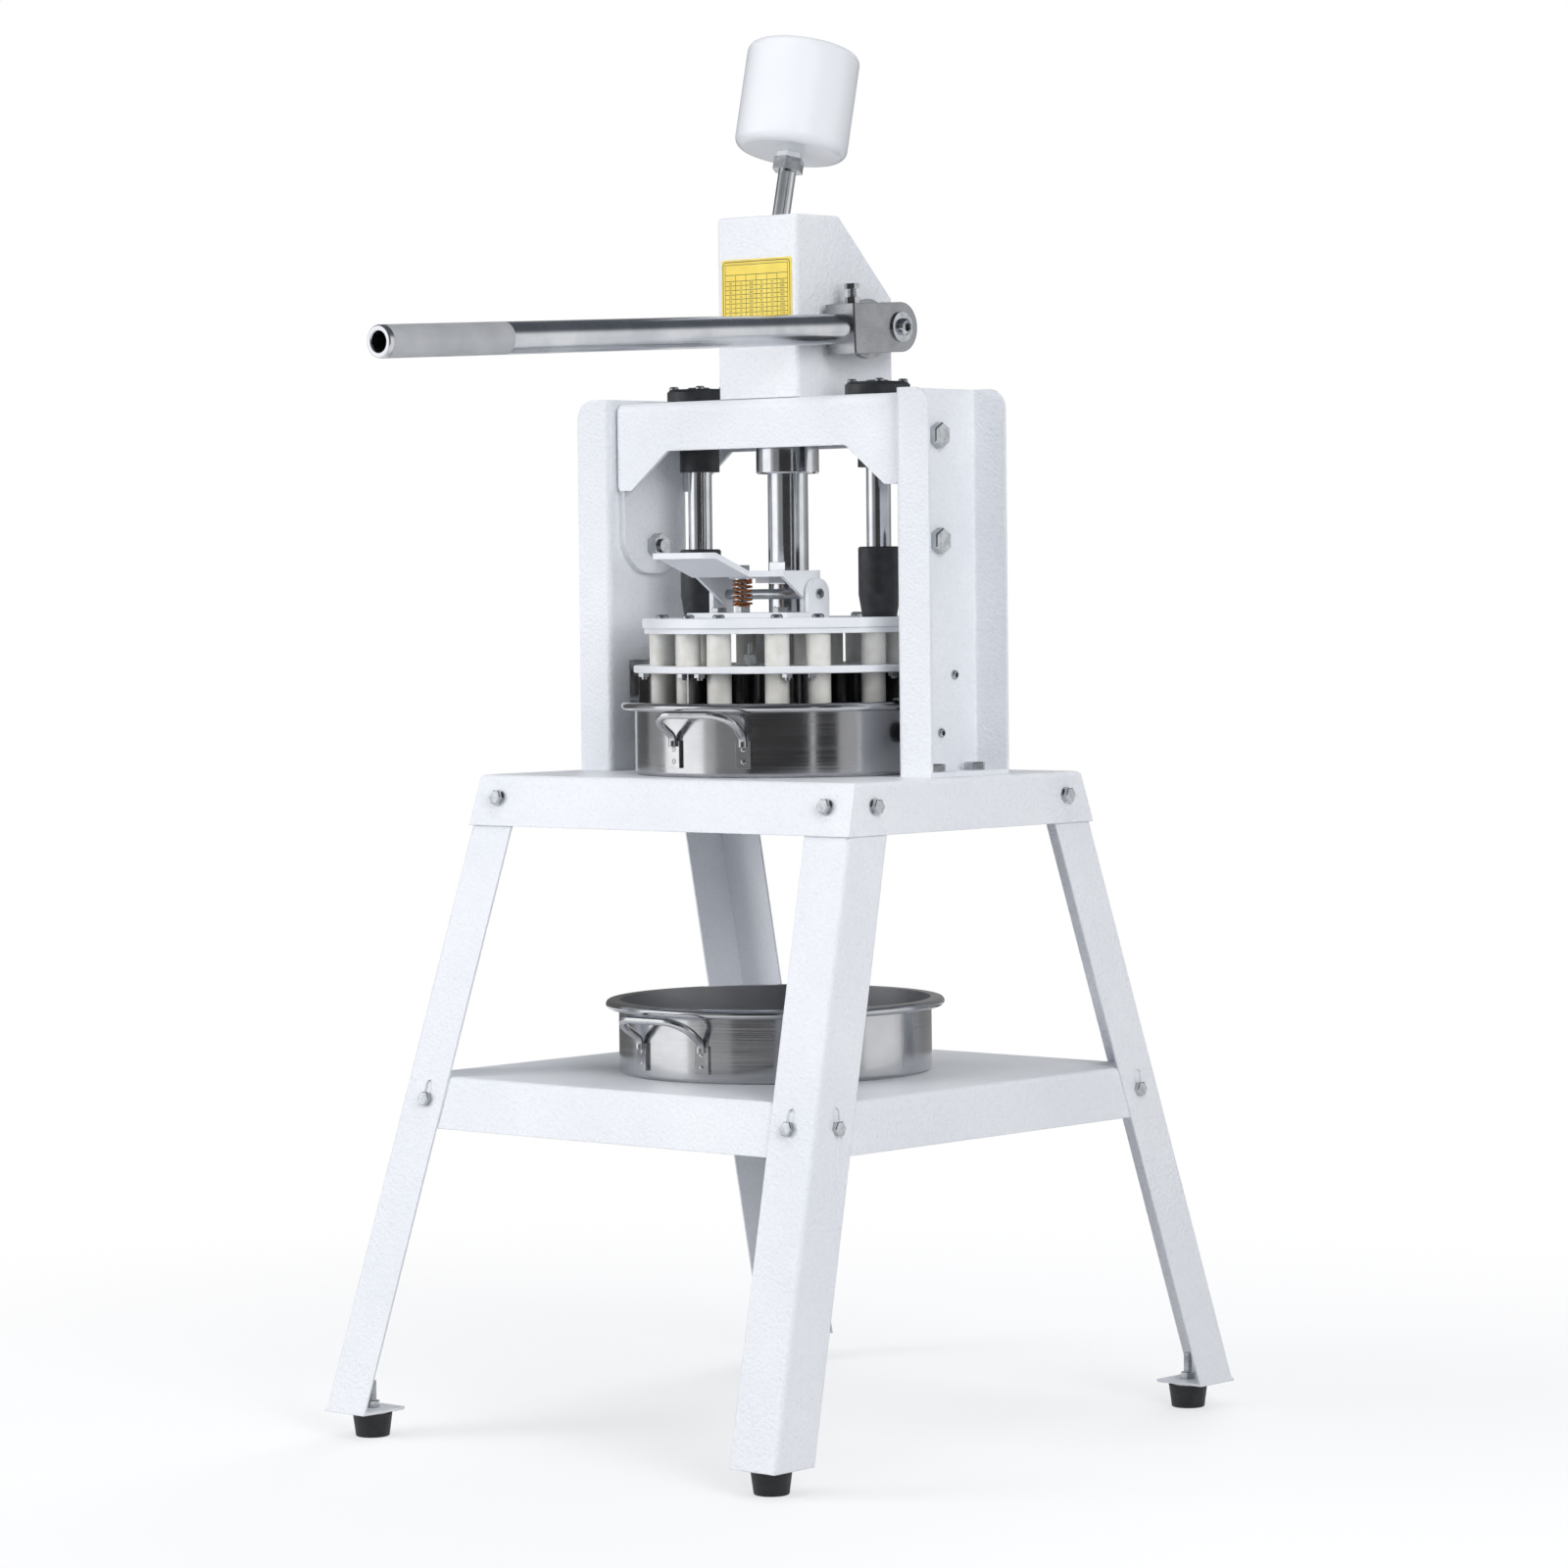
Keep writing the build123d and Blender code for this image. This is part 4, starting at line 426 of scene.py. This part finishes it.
# A sleeve of small pyramids round z, as a knurling wheel leaves them.
def buildKnurlTree():
    tree, given = openTree("knurl", {
        "Radius": "Float", "Depth": "Float", "Length": "Float", "Around": "Int", "Along": "Int",
        "Material": "Material"})
    columns = addNode(tree, "ShaderNodeMath", {0: given["Around"], 1: 1.0})
    rows = addNode(tree, "ShaderNodeMath", {0: given["Along"], 1: 1.0})
    sheet = addNode(tree, "GeometryNodeMeshGrid", {
        "Vertices X": columns.outputs[0], "Vertices Y": rows.outputs[0]})
    index = addNode(tree, "GeometryNodeInputIndex").outputs[0]
    share = addNode(tree, "ShaderNodeMath", {0: index, 1: rows.outputs[0]}, operation="DIVIDE")
    column = addNode(tree, "ShaderNodeMath", {0: share.outputs[0]}, operation="FLOOR")
    row = addNode(tree, "ShaderNodeMath", {0: index, 1: rows.outputs[0]}, operation="MODULO")
    both = addNode(tree, "ShaderNodeMath", {0: column.outputs[0], 1: row.outputs[0]})
    peak = addNode(tree, "ShaderNodeMath", {0: both.outputs[0], 1: 2.0}, operation="MODULO")
    radius = addNode(tree, "ShaderNodeMath", {
        0: peak.outputs[0], 1: given["Depth"], 2: given["Radius"]}, operation="MULTIPLY_ADD")
    part = addNode(tree, "ShaderNodeMath", {0: column.outputs[0], 1: given["Around"]}, operation="DIVIDE")
    angle = addNode(tree, "ShaderNodeMath", {0: part.outputs[0], 1: 2 * math.pi}, operation="MULTIPLY")
    across = addNode(tree, "ShaderNodeMath", {0: angle.outputs[0]}, operation="COSINE")
    aside = addNode(tree, "ShaderNodeMath", {0: angle.outputs[0]}, operation="SINE")
    x = addNode(tree, "ShaderNodeMath", {0: across.outputs[0], 1: radius.outputs[0]}, operation="MULTIPLY")
    y = addNode(tree, "ShaderNodeMath", {0: aside.outputs[0], 1: radius.outputs[0]}, operation="MULTIPLY")
    level = addNode(tree, "ShaderNodeMath", {0: row.outputs[0], 1: given["Along"]}, operation="DIVIDE")
    z = addNode(tree, "ShaderNodeMath", {0: level.outputs[0], 1: given["Length"]}, operation="MULTIPLY")
    spot = addNode(tree, "ShaderNodeCombineXYZ", {0: x.outputs[0], 1: y.outputs[0], 2: z.outputs[0]})
    rolled = addNode(tree, "GeometryNodeSetPosition", {
        "Geometry": sheet.outputs[0], "Position": spot.outputs[0]})
    closed = addNode(tree, "GeometryNodeMergeByDistance", {
        "Geometry": rolled.outputs[0], "Distance": knurlSeam * mm})
    cut = addNode(tree, "GeometryNodeTriangulate", {0: closed.outputs[0]})
    return closeTree(tree, cut.outputs[0], given, False)


weldDome = {"Segments": 14, "Rings": 8, "Radius": 0.5}

# One row of a repeated shape: square bars for ruled lines, flat domes for welds.
def buildRowTree(name, domed):
    tree, given = openTree(name, {
        "Count": "Int", "Step": "Vector", "Size": "Vector", "Material": "Material"})
    line = addNode(tree, "GeometryNodeMeshLine", {"Count": given["Count"], "Offset": given["Step"]})
    if domed:
        shape = addNode(tree, "GeometryNodeMeshUVSphere", weldDome)
    else:
        shape = addNode(tree, "GeometryNodeMeshCube", {"Size": (1.0, 1.0, 1.0)})
    row = addNode(tree, "GeometryNodeInstanceOnPoints", {
        "Points": line.outputs[0], "Instance": shape.outputs[0], "Scale": given["Size"]})
    return closeTree(tree, row.outputs[0], given, domed)


cornerSteps = 6

# A drawn line round a rectangle with rounded corners, lying in the plane of x and z.
def buildBorderTree():
    tree, given = openTree("border", {
        "Width": "Float", "Height": "Float", "Round": "Float", "Line": "Float", "Thick": "Float",
        "Material": "Material"})
    outline = addNode(tree, "GeometryNodeCurvePrimitiveQuadrilateral", {
        "Width": given["Width"], "Height": given["Height"]})
    soft = addNode(tree, "GeometryNodeFilletCurve", {
        "Curve": outline.outputs[0], "Radius": given["Round"], "Count": cornerSteps}, mode="POLY")
    upright = addNode(tree, "GeometryNodeSetCurveNormal", {"Curve": soft.outputs[0]}, mode="Z_UP")
    section = addNode(tree, "GeometryNodeCurvePrimitiveQuadrilateral", {
        "Width": given["Line"], "Height": given["Thick"]})
    drawn = addNode(tree, "GeometryNodeCurveToMesh", {
        "Curve": upright.outputs[0], "Profile Curve": section.outputs[0]})
    turned = addNode(tree, "GeometryNodeTransform", {
        "Geometry": drawn.outputs[0], "Rotation": (math.pi / 2, 0.0, 0.0)})
    return closeTree(tree, turned.outputs[0], given, False)


coilTree = buildCoilTree()
knurlTree = buildKnurlTree()
barTree = buildRowTree("barRow", False)
weldTree = buildRowTree("weldRow", True)
borderTree = buildBorderTree()


def growShape(tree, values):
    holder = addObject("grower", bpy.data.meshes.new("grower"))
    grower = holder.modifiers.new("grow", "NODES")
    grower.node_group = tree
    for item in tree.interface.items_tree:
        if item.in_out == "INPUT":
            grower[item.identifier] = values[item.name]
    graph = bpy.context.evaluated_depsgraph_get()
    shape = bpy.data.meshes.new_from_object(holder.evaluated_get(graph), depsgraph=graph)
    holder.modifiers.remove(grower)
    bpy.data.objects.remove(holder)
    return shape


def keepPiece(name, whole, surface, body):
    mesh = bpy.data.meshes.new(name)
    whole.to_mesh(mesh)
    whole.free()
    mesh.materials.append(surface)
    piece = addObject(name, mesh)
    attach(piece, body)
    print("piece", name, len(mesh.polygons), "faces on", body)
    return piece


# Rows are a tree, its values and the places that get a copy of its shape.
def growPiece(name, rows, body):
    whole = bmesh.new()
    for tree, values, places in rows:
        shape = growShape(tree, values)
        for place in places:
            copy = shape.copy()
            copy.transform(place)
            whole.from_mesh(copy)
            bpy.data.meshes.remove(copy)
        bpy.data.meshes.remove(shape)
    return keepPiece(name, whole, rows[0][1]["Material"], body)


def standing(spot, up=(0, 0, 1), side=(1, 0, 0)):
    z = Vector(up).normalized()
    x = Vector(side)
    x = (x - z * x.dot(z)).normalized()
    y = z.cross(x)
    turn = Matrix((x, y, z)).transposed().to_4x4()
    return Matrix.Translation(Vector(spot) * mm) @ turn


def knurlRow(knurl, surface, place):
    return (knurlTree, {
        "Radius": knurl["radius"] * mm, "Depth": knurl["depth"] * mm, "Length": knurl["length"] * mm,
        "Around": 2 * knurl["diamonds"], "Along": 2 * round(knurl["length"] / knurl["pitch"]),
        "Material": surface}, [place])


# Knurled grip at the free end of the lever
grip = {"shaft": (81.0, 76.0, 1085.0), "droop": 2.75, "start": 539.0, "length": 153.0,
        "radius": 15.03, "depth": 0.18, "diamonds": 80, "pitch": 1.2}
droop = math.radians(grip["droop"])
leverAxis = Vector((0, -math.cos(droop), -math.sin(droop)))
leverUp = Vector((0, -math.sin(droop), math.cos(droop)))
gripStart = Vector(grip["shaft"]) + leverAxis * grip["start"]
growPiece("gripKnurl", [knurlRow(grip, surfaces["knurledChrome"], standing(gripStart, leverAxis))],
          "lever")

# Knurled nut on the stop stud
stopNut = {"spot": (45.16, -91.02, 755.6), "radius": 6.52, "depth": 0.4, "length": 8.8,
           "diamonds": 22, "pitch": 1.5}
growPiece("stopNutKnurl", [knurlRow(stopNut, surfaces["brightZinc"], standing(stopNut["spot"]))],
          "ram")

# Latch spring with closed ends. The pedal presses it shorter, but the piece keeps one fixed length.
spring = {"spot": (0.0, -51.0, 812.12), "radius": 8.9, "wire": 2.2, "height": 25.26,
          "turns": 7.0, "closed": 1.0, "steps": 36, "sides": 12, "pressed": 0.70, "seat": 811.0}
latchSpring = growPiece("latchSpringCoil", [(coilTree, {
    "Radius": spring["radius"] * mm, "Wire": spring["wire"] * mm, "Height": spring["height"] * mm,
    "Turns": spring["turns"], "Closed": spring["closed"],
    "Steps": spring["steps"], "Sides": spring["sides"], "Material": surfaces["copperedWire"]},
    [standing(spring["spot"])])], "pusher")
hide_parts("latch_spring")
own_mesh(latchSpring)


# Threads on studs and bolts: a ridge a little proud of the plain shank. The crest is the ridge's
# share of the pitch.
threadShape = {"crest": 0.8, "steps": 28, "sides": 4}


def threadRow(thread, places):
    rise = thread["length"] - thread["pitch"]
    return (coilTree, {
        "Radius": thread["radius"] * mm, "Wire": threadShape["crest"] * thread["pitch"] * mm,
        "Height": rise * mm, "Turns": rise / thread["pitch"], "Closed": 0.0,
        "Steps": threadShape["steps"], "Sides": threadShape["sides"],
        "Material": surfaces["brightZinc"]}, places)


footThread = {"radius": 3.8, "pitch": 1.25, "length": 19.0, "low": 35.2, "spread": (262.39, 316.57)}
footX, footY = footThread["spread"]
footPlaces = [standing((sideX * footX, sideY * footY, footThread["low"]))
              for sideX in (-1, 1) for sideY in (-1, 1)]
growPiece("footStudThreads", [threadRow(footThread, footPlaces)], "stand")

lockThread = {"radius": 3.8, "pitch": 1.25, "length": 7.6, "low": 31.3, "reach": 50.0}
lockSpot = Vector(grip["shaft"]) + leverAxis * lockThread["reach"] + leverUp * lockThread["low"]
growPiece("lockBoltThread", [threadRow(lockThread, [standing(lockSpot, leverUp)])], "lever")

springThread = {"radius": 3.8, "pitch": 1.25, "length": 28.0, "low": 811.2}
growPiece("springBoltThread", [threadRow(springThread, [
    standing((*spring["spot"][:2], springThread["low"]))])], "pusher")

stopThread = {"radius": 2.35, "pitch": 0.8, "length": 10.4, "low": 764.8}
growPiece("stopStudThread", [threadRow(stopThread, [
    standing((*stopNut["spot"][:2], stopThread["low"]))])], "ram")


def shapeRow(tree, count, step, size, surface, places):
    return (tree, {"Count": count, "Step": [s * mm for s in step], "Size": [s * mm for s in size],
                   "Material": surface}, places)


# Pans: two spot welds on each flattened handle end, and the weld seam of the wall
pans = {
    "upper": {"body": "upper_pan", "centre": (0.0, 18.0), "base": 646.0, "facing": 10.0},
    "lower": {"body": "lower_pan", "centre": (0.0, -9.0), "base": 351.5, "facing": 0.0},
}
panWelds = {"strapTurn": 14.53, "strapFace": 158.0, "rises": (15.5, 27.5), "dot": (5.2, 5.2, 1.3),
            "seamTurn": 95.0, "seamFace": 155.0, "seamLow": 9.0, "seamCount": 44, "seamStep": 1.2,
            "seamSize": (1.6, 0.25, 2.2)}
for label, pan in pans.items():
    strapPlaces = []
    for turn in (pan["facing"] - panWelds["strapTurn"], pan["facing"] + panWelds["strapTurn"]):
        away = Vector((math.sin(math.radians(turn)), -math.cos(math.radians(turn)), 0))
        for rise in panWelds["rises"]:
            spot = Vector((*pan["centre"], pan["base"] + rise)) + away * panWelds["strapFace"]
            strapPlaces.append(standing(spot, away, (0, 0, 1)))
    seamWay = math.radians(panWelds["seamTurn"])
    seamOut = Vector((math.sin(seamWay), -math.cos(seamWay), 0))
    seamSpot = Vector((*pan["centre"], pan["base"] + panWelds["seamLow"])) + seamOut * panWelds["seamFace"]
    seamPlace = standing(seamSpot, (0, 0, 1), Vector((0, 0, 1)).cross(seamOut))
    growPiece(label + "PanWelds", [
        shapeRow(weldTree, 1, (0, 0, 0), panWelds["dot"], surfaces["wireStainless"], strapPlaces),
        shapeRow(weldTree, panWelds["seamCount"], (0, 0, panWelds["seamStep"]), panWelds["seamSize"],
                 surfaces["wireStainless"], [seamPlace]),
    ], pan["body"])

# Ruled plate on the cover: lines and plain numbers, no words. Each group of columns gives the weight
# of a piece, the pieces in a pan and the weight of the dough.
chart = {"face": -25.8, "left": -46.0, "low": 1087.0, "width": 92.0, "height": 66.0, "margin": 5.0,
         "line": 0.55, "thick": 0.06, "rows": 9, "columns": 6, "titleRow": 10.0, "headRow": 6.0,
         "firstWeight": 30, "weightStep": 5, "pieces": 10, "group": 3,
         "digit": 3.6, "digitMiddle": 0.34, "digitProud": 0.03, "digitSteps": 2,
         "border": 2.2, "borderLine": 0.88, "round": 4.0}
gridWidth = chart["width"] - 2 * chart["margin"]
gridLow = chart["low"] + chart["margin"]
gridHigh = chart["low"] + chart["height"] - chart["margin"]
headHigh = gridHigh - chart["titleRow"]
rowsHigh = headHigh - chart["headRow"]
rowStep = (rowsHigh - gridLow) / chart["rows"]
columnStep = gridWidth / chart["columns"]
gridLeft = chart["left"] + chart["margin"]
ink = surfaces["printInk"]
levelLine = (gridWidth, chart["thick"], chart["line"])


def uprightLines(count, step, low, high):
    return shapeRow(barTree, count, (step, 0, 0), (chart["line"], chart["thick"], high - low), ink,
                    [standing((gridLeft, chart["face"], (high + low) / 2))])


growPiece("chartRules", [
    shapeRow(barTree, chart["rows"] + 1, (0, 0, rowStep), levelLine, ink,
             [standing((0.0, chart["face"], gridLow))]),
    shapeRow(barTree, 2, (0, 0, chart["titleRow"]), levelLine, ink,
             [standing((0.0, chart["face"], headHigh))]),
    uprightLines(chart["columns"] + 1, columnStep, gridLow, headHigh),
    uprightLines(2, gridWidth, headHigh, gridHigh),
    (borderTree, {"Width": (chart["width"] - 2 * chart["border"]) * mm,
                  "Height": (chart["height"] - 2 * chart["border"]) * mm,
                  "Line": chart["borderLine"] * mm, "Thick": chart["thick"] * mm,
                  "Round": chart["round"] * mm, "Material": ink},
     [standing((0.0, chart["face"], chart["low"] + chart["height"] / 2))]),
], "stand")

numbers = bmesh.new()
for column in range(chart["columns"]):
    for row in range(chart["rows"]):
        count = row + chart["rows"] * (column // chart["group"])
        weight = chart["firstWeight"] + chart["weightStep"] * count
        text = bpy.data.curves.new("digits", "FONT")
        text.body = str((weight, chart["pieces"], chart["pieces"] * weight)[column % chart["group"]])
        text.size = chart["digit"] * mm
        text.align_x = "CENTER"
        text.resolution_u = chart["digitSteps"]
        writer = addObject("digits", text)
        graph = bpy.context.evaluated_depsgraph_get()
        shape = bpy.data.meshes.new_from_object(writer.evaluated_get(graph), depsgraph=graph)
        x = gridLeft + (column + 0.5) * columnStep
        z = rowsHigh - (row + 0.5) * rowStep - chart["digitMiddle"] * chart["digit"]
        shape.transform(standing((x, chart["face"] - chart["digitProud"], z), (0, -1, 0), (1, 0, 0)))
        numbers.from_mesh(shape)
        bpy.data.objects.remove(writer)
        bpy.data.meshes.remove(shape)
        bpy.data.curves.remove(text)
keepPiece("chartNumbers", numbers, ink, "stand")

# Floor, backdrop light, lamps and camera
studio = {
    "floorColour": "#F4F5F7", "bounceColour": "#BCBDBF", "floorSize": 40.0,   # sizes in m
    "fadeStart": 0.6, "fadeEnd": 1.8, "glow": 0.58,   # the floor turns white away from the object
    "fill": 0.36, "fillColour": "#F1F4FA", "zenith": "#5C6066", "zenithStart": 0.22, "zenithEnd": 0.55,
    "aim": (0.0, 0.0, 0.72),
    "lamps": [
        {"name": "keyBox", "spot": (-2.3, -3.0, 1.7), "size": (2.0, 2.4), "power": 78.0},
        {"name": "sideBox", "spot": (3.2, -1.5, 1.9), "size": (1.6, 2.4), "power": 74.0},
        {"name": "topBox", "spot": (0.2, -0.6, 4.5), "size": (3.0, 3.0), "power": 44.0},
        {"name": "backBox", "spot": (-1.2, 3.4, 2.3), "size": (2.4, 1.8), "power": 60.0},
    ],
    # screens round the object, as bright metal mirrors them: the turn of both ends from the front
    # towards the lever side, and the tone; the last lies on the floor behind the object
    "screens": [
        {"from": -140.0, "to": -85.0, "tone": 0.15},
        {"from": -85.0, "to": -62.0, "tone": 0.40},
        {"from": -62.0, "to": -24.0, "tone": 1.45},
        {"from": -24.0, "to": -14.0, "tone": 0.60},
        {"from": -14.0, "to": 10.0, "tone": 0.30},
        {"from": 10.0, "to": 56.0, "tone": 0.05},
        {"from": 59.0, "to": 76.0, "tone": 0.05},
        {"from": 76.0, "to": 108.0, "tone": 0.50},
        {"from": 144.0, "to": 156.0, "tone": 0.50},
        {"from": 156.0, "to": 172.0, "tone": 0.35},
        {"from": 172.0, "to": 220.0, "tone": 0.28},
        {"from": 152.0, "to": 208.0, "tone": 0.02, "edges": ((1.3, 0.01), (2.1, 0.01))},
    ],
    "screenEdges": ((3.3, 0.0), (3.3, 2.5)),   # reach and height of the low and the high edge
    "screenStep": 6.0,
}

floorMesh = bpy.data.meshes.new("studioFloor")
half = studio["floorSize"] / 2
floorMesh.from_pydata([
    (-half, -half, 0), (half, -half, 0), (half, half, 0), (-half, half, 0)], [], [(0, 1, 2, 3)])
studioFloor = addObject("studioFloor", floorMesh)
floorSurface, tree = blankSurface("paperFloor")
path = addNode(tree, "ShaderNodeLightPath").outputs
paper = addNode(tree, "ShaderNodeMix", {
    0: path["Is Diffuse Ray"], 6: linear(studio["floorColour"]), 7: linear(studio["bounceColour"])},
    data_type="RGBA")
matt = addNode(tree, "ShaderNodeBsdfDiffuse", {"Color": paper.outputs[2]})
white = addNode(tree, "ShaderNodeEmission", {"Color": plainWhite, "Strength": 1.0})
spot = addNode(tree, "ShaderNodeTexCoord").outputs["Object"]
away = addNode(tree, "ShaderNodeVectorMath", {0: spot}, operation="LENGTH")
fade = addNode(tree, "ShaderNodeMapRange", {
    "Value": away.outputs["Value"], "From Min": studio["fadeStart"], "From Max": studio["fadeEnd"],
    "To Min": studio["glow"]}, interpolation_type="SMOOTHSTEP")
shiny = addNode(tree, "ShaderNodeMath", {
    0: path["Is Glossy Ray"], 1: path["Is Transmission Ray"]}, operation="MAXIMUM")
seen = addNode(tree, "ShaderNodeMath", {
    0: path["Is Camera Ray"], 1: shiny.outputs[0]}, operation="MAXIMUM")
share = addNode(tree, "ShaderNodeMath", {0: fade.outputs[0], 1: seen.outputs[0]}, operation="MULTIPLY")
blend = addNode(tree, "ShaderNodeMixShader", {
    0: share.outputs[0], 1: matt.outputs[0], 2: white.outputs[0]})
addNode(tree, "ShaderNodeOutputMaterial", {"Surface": blend.outputs[0]})
floorMesh.materials.append(floorSurface)

# Screens give bright metal its dark and bright bands; only reflections see them.
corners = []
faces = []
tones = []
for screen in studio["screens"]:
    steps = round((screen["to"] - screen["from"]) / studio["screenStep"])
    for step in range(steps + 1):
        turn = math.radians(screen["from"] + (screen["to"] - screen["from"]) * step / steps)
        for reach, level in screen.get("edges", studio["screenEdges"]):
            corners.append((reach * math.sin(turn), -reach * math.cos(turn), level))
        if step:
            last = len(corners) - 1
            faces.append((last - 3, last - 1, last, last - 2))
            tones.append(screen["tone"])
screenMesh = bpy.data.meshes.new("studioScreens")
screenMesh.from_pydata(corners, [], faces)
screenMesh.attributes.new("tone", "FLOAT", "FACE").data.foreach_set("value", tones)
studioScreens = addObject("studioScreens", screenMesh)
studioScreens.visible_camera = False
studioScreens.visible_diffuse = False
studioScreens.visible_shadow = False
screenSurface, tree = blankSurface("greyScreens")
tone = addNode(tree, "ShaderNodeAttribute", attribute_name="tone")
lit = addNode(tree, "ShaderNodeEmission", {"Strength": tone.outputs["Fac"]})
addNode(tree, "ShaderNodeOutputMaterial", {"Surface": lit.outputs[0]})
screenMesh.materials.append(screenSurface)

world = bpy.data.worlds.new("softStudio")
world.use_nodes = True
bpy.context.scene.world = world
tree = world.node_tree
tree.nodes.clear()
fill = addNode(tree, "ShaderNodeBackground", {
    "Color": linear(studio["fillColour"]), "Strength": studio["fill"]})
way = addNode(tree, "ShaderNodeTexCoord").outputs["Generated"]
sky = addNode(tree, "ShaderNodeSeparateXYZ", {0: way})
rise = addNode(tree, "ShaderNodeMapRange", {
    "Value": sky.outputs[2], "From Min": studio["zenithStart"], "From Max": studio["zenithEnd"]},
    interpolation_type="SMOOTHSTEP")
dome = addNode(tree, "ShaderNodeMix", {
    0: rise.outputs[0], 6: plainWhite, 7: linear(studio["zenith"])}, data_type="RGBA")
mirrored = addNode(tree, "ShaderNodeBackground", {"Color": dome.outputs[2], "Strength": 1.0})
backdrop = addNode(tree, "ShaderNodeBackground", {"Color": plainWhite, "Strength": 1.0})
path = addNode(tree, "ShaderNodeLightPath").outputs
shiny = addNode(tree, "ShaderNodeMath", {
    0: path["Is Glossy Ray"], 1: path["Is Transmission Ray"]}, operation="MAXIMUM")
lit = addNode(tree, "ShaderNodeMixShader", {
    0: shiny.outputs[0], 1: fill.outputs[0], 2: mirrored.outputs[0]})
shown = addNode(tree, "ShaderNodeMixShader", {
    0: path["Is Camera Ray"], 1: lit.outputs[0], 2: backdrop.outputs[0]})
addNode(tree, "ShaderNodeOutputWorld", {"Surface": shown.outputs[0]})

for lamp in studio["lamps"]:
    light = bpy.data.lights.new(lamp["name"], "AREA")
    light.shape = "RECTANGLE"
    light.size, light.size_y = lamp["size"]
    light.energy = lamp["power"]
    holder = addObject(lamp["name"], light)
    holder.location = lamp["spot"]
    holder.visible_glossy = False   # bright metal mirrors the screens, not the lamp
    towards = Vector(studio["aim"]) - Vector(lamp["spot"])
    holder.rotation_euler = towards.to_track_quat("-Z", "Y").to_euler()

view = {"azimuth": 41.536, "distance": 5.054, "height": 0.833, "lens": 117.1,
        "sensor": 36.0, "farthest": 100.0, "yaw": -0.057, "pitch": -2.247, "roll": -0.6}
camera = addObject("photoCamera", bpy.data.cameras.new("photoCamera"))
camera.data.lens = view["lens"]
camera.data.sensor_width = view["sensor"]
camera.data.clip_end = view["farthest"]
way = math.radians(view["azimuth"])
turn = (Matrix.Rotation(math.radians(view["azimuth"] + view["yaw"]), 4, "Z")
        @ Matrix.Rotation(math.radians(90 + view["pitch"]), 4, "X")
        @ Matrix.Rotation(math.radians(view["roll"]), 4, "Z"))
cameraSpot = Vector((view["distance"] * math.sin(way), -view["distance"] * math.cos(way), view["height"]))
camera.matrix_world = Matrix.Translation(cameraSpot) @ turn
bpy.context.scene.camera = camera
bpy.context.scene.view_settings.view_transform = "Standard"
print("studio set")
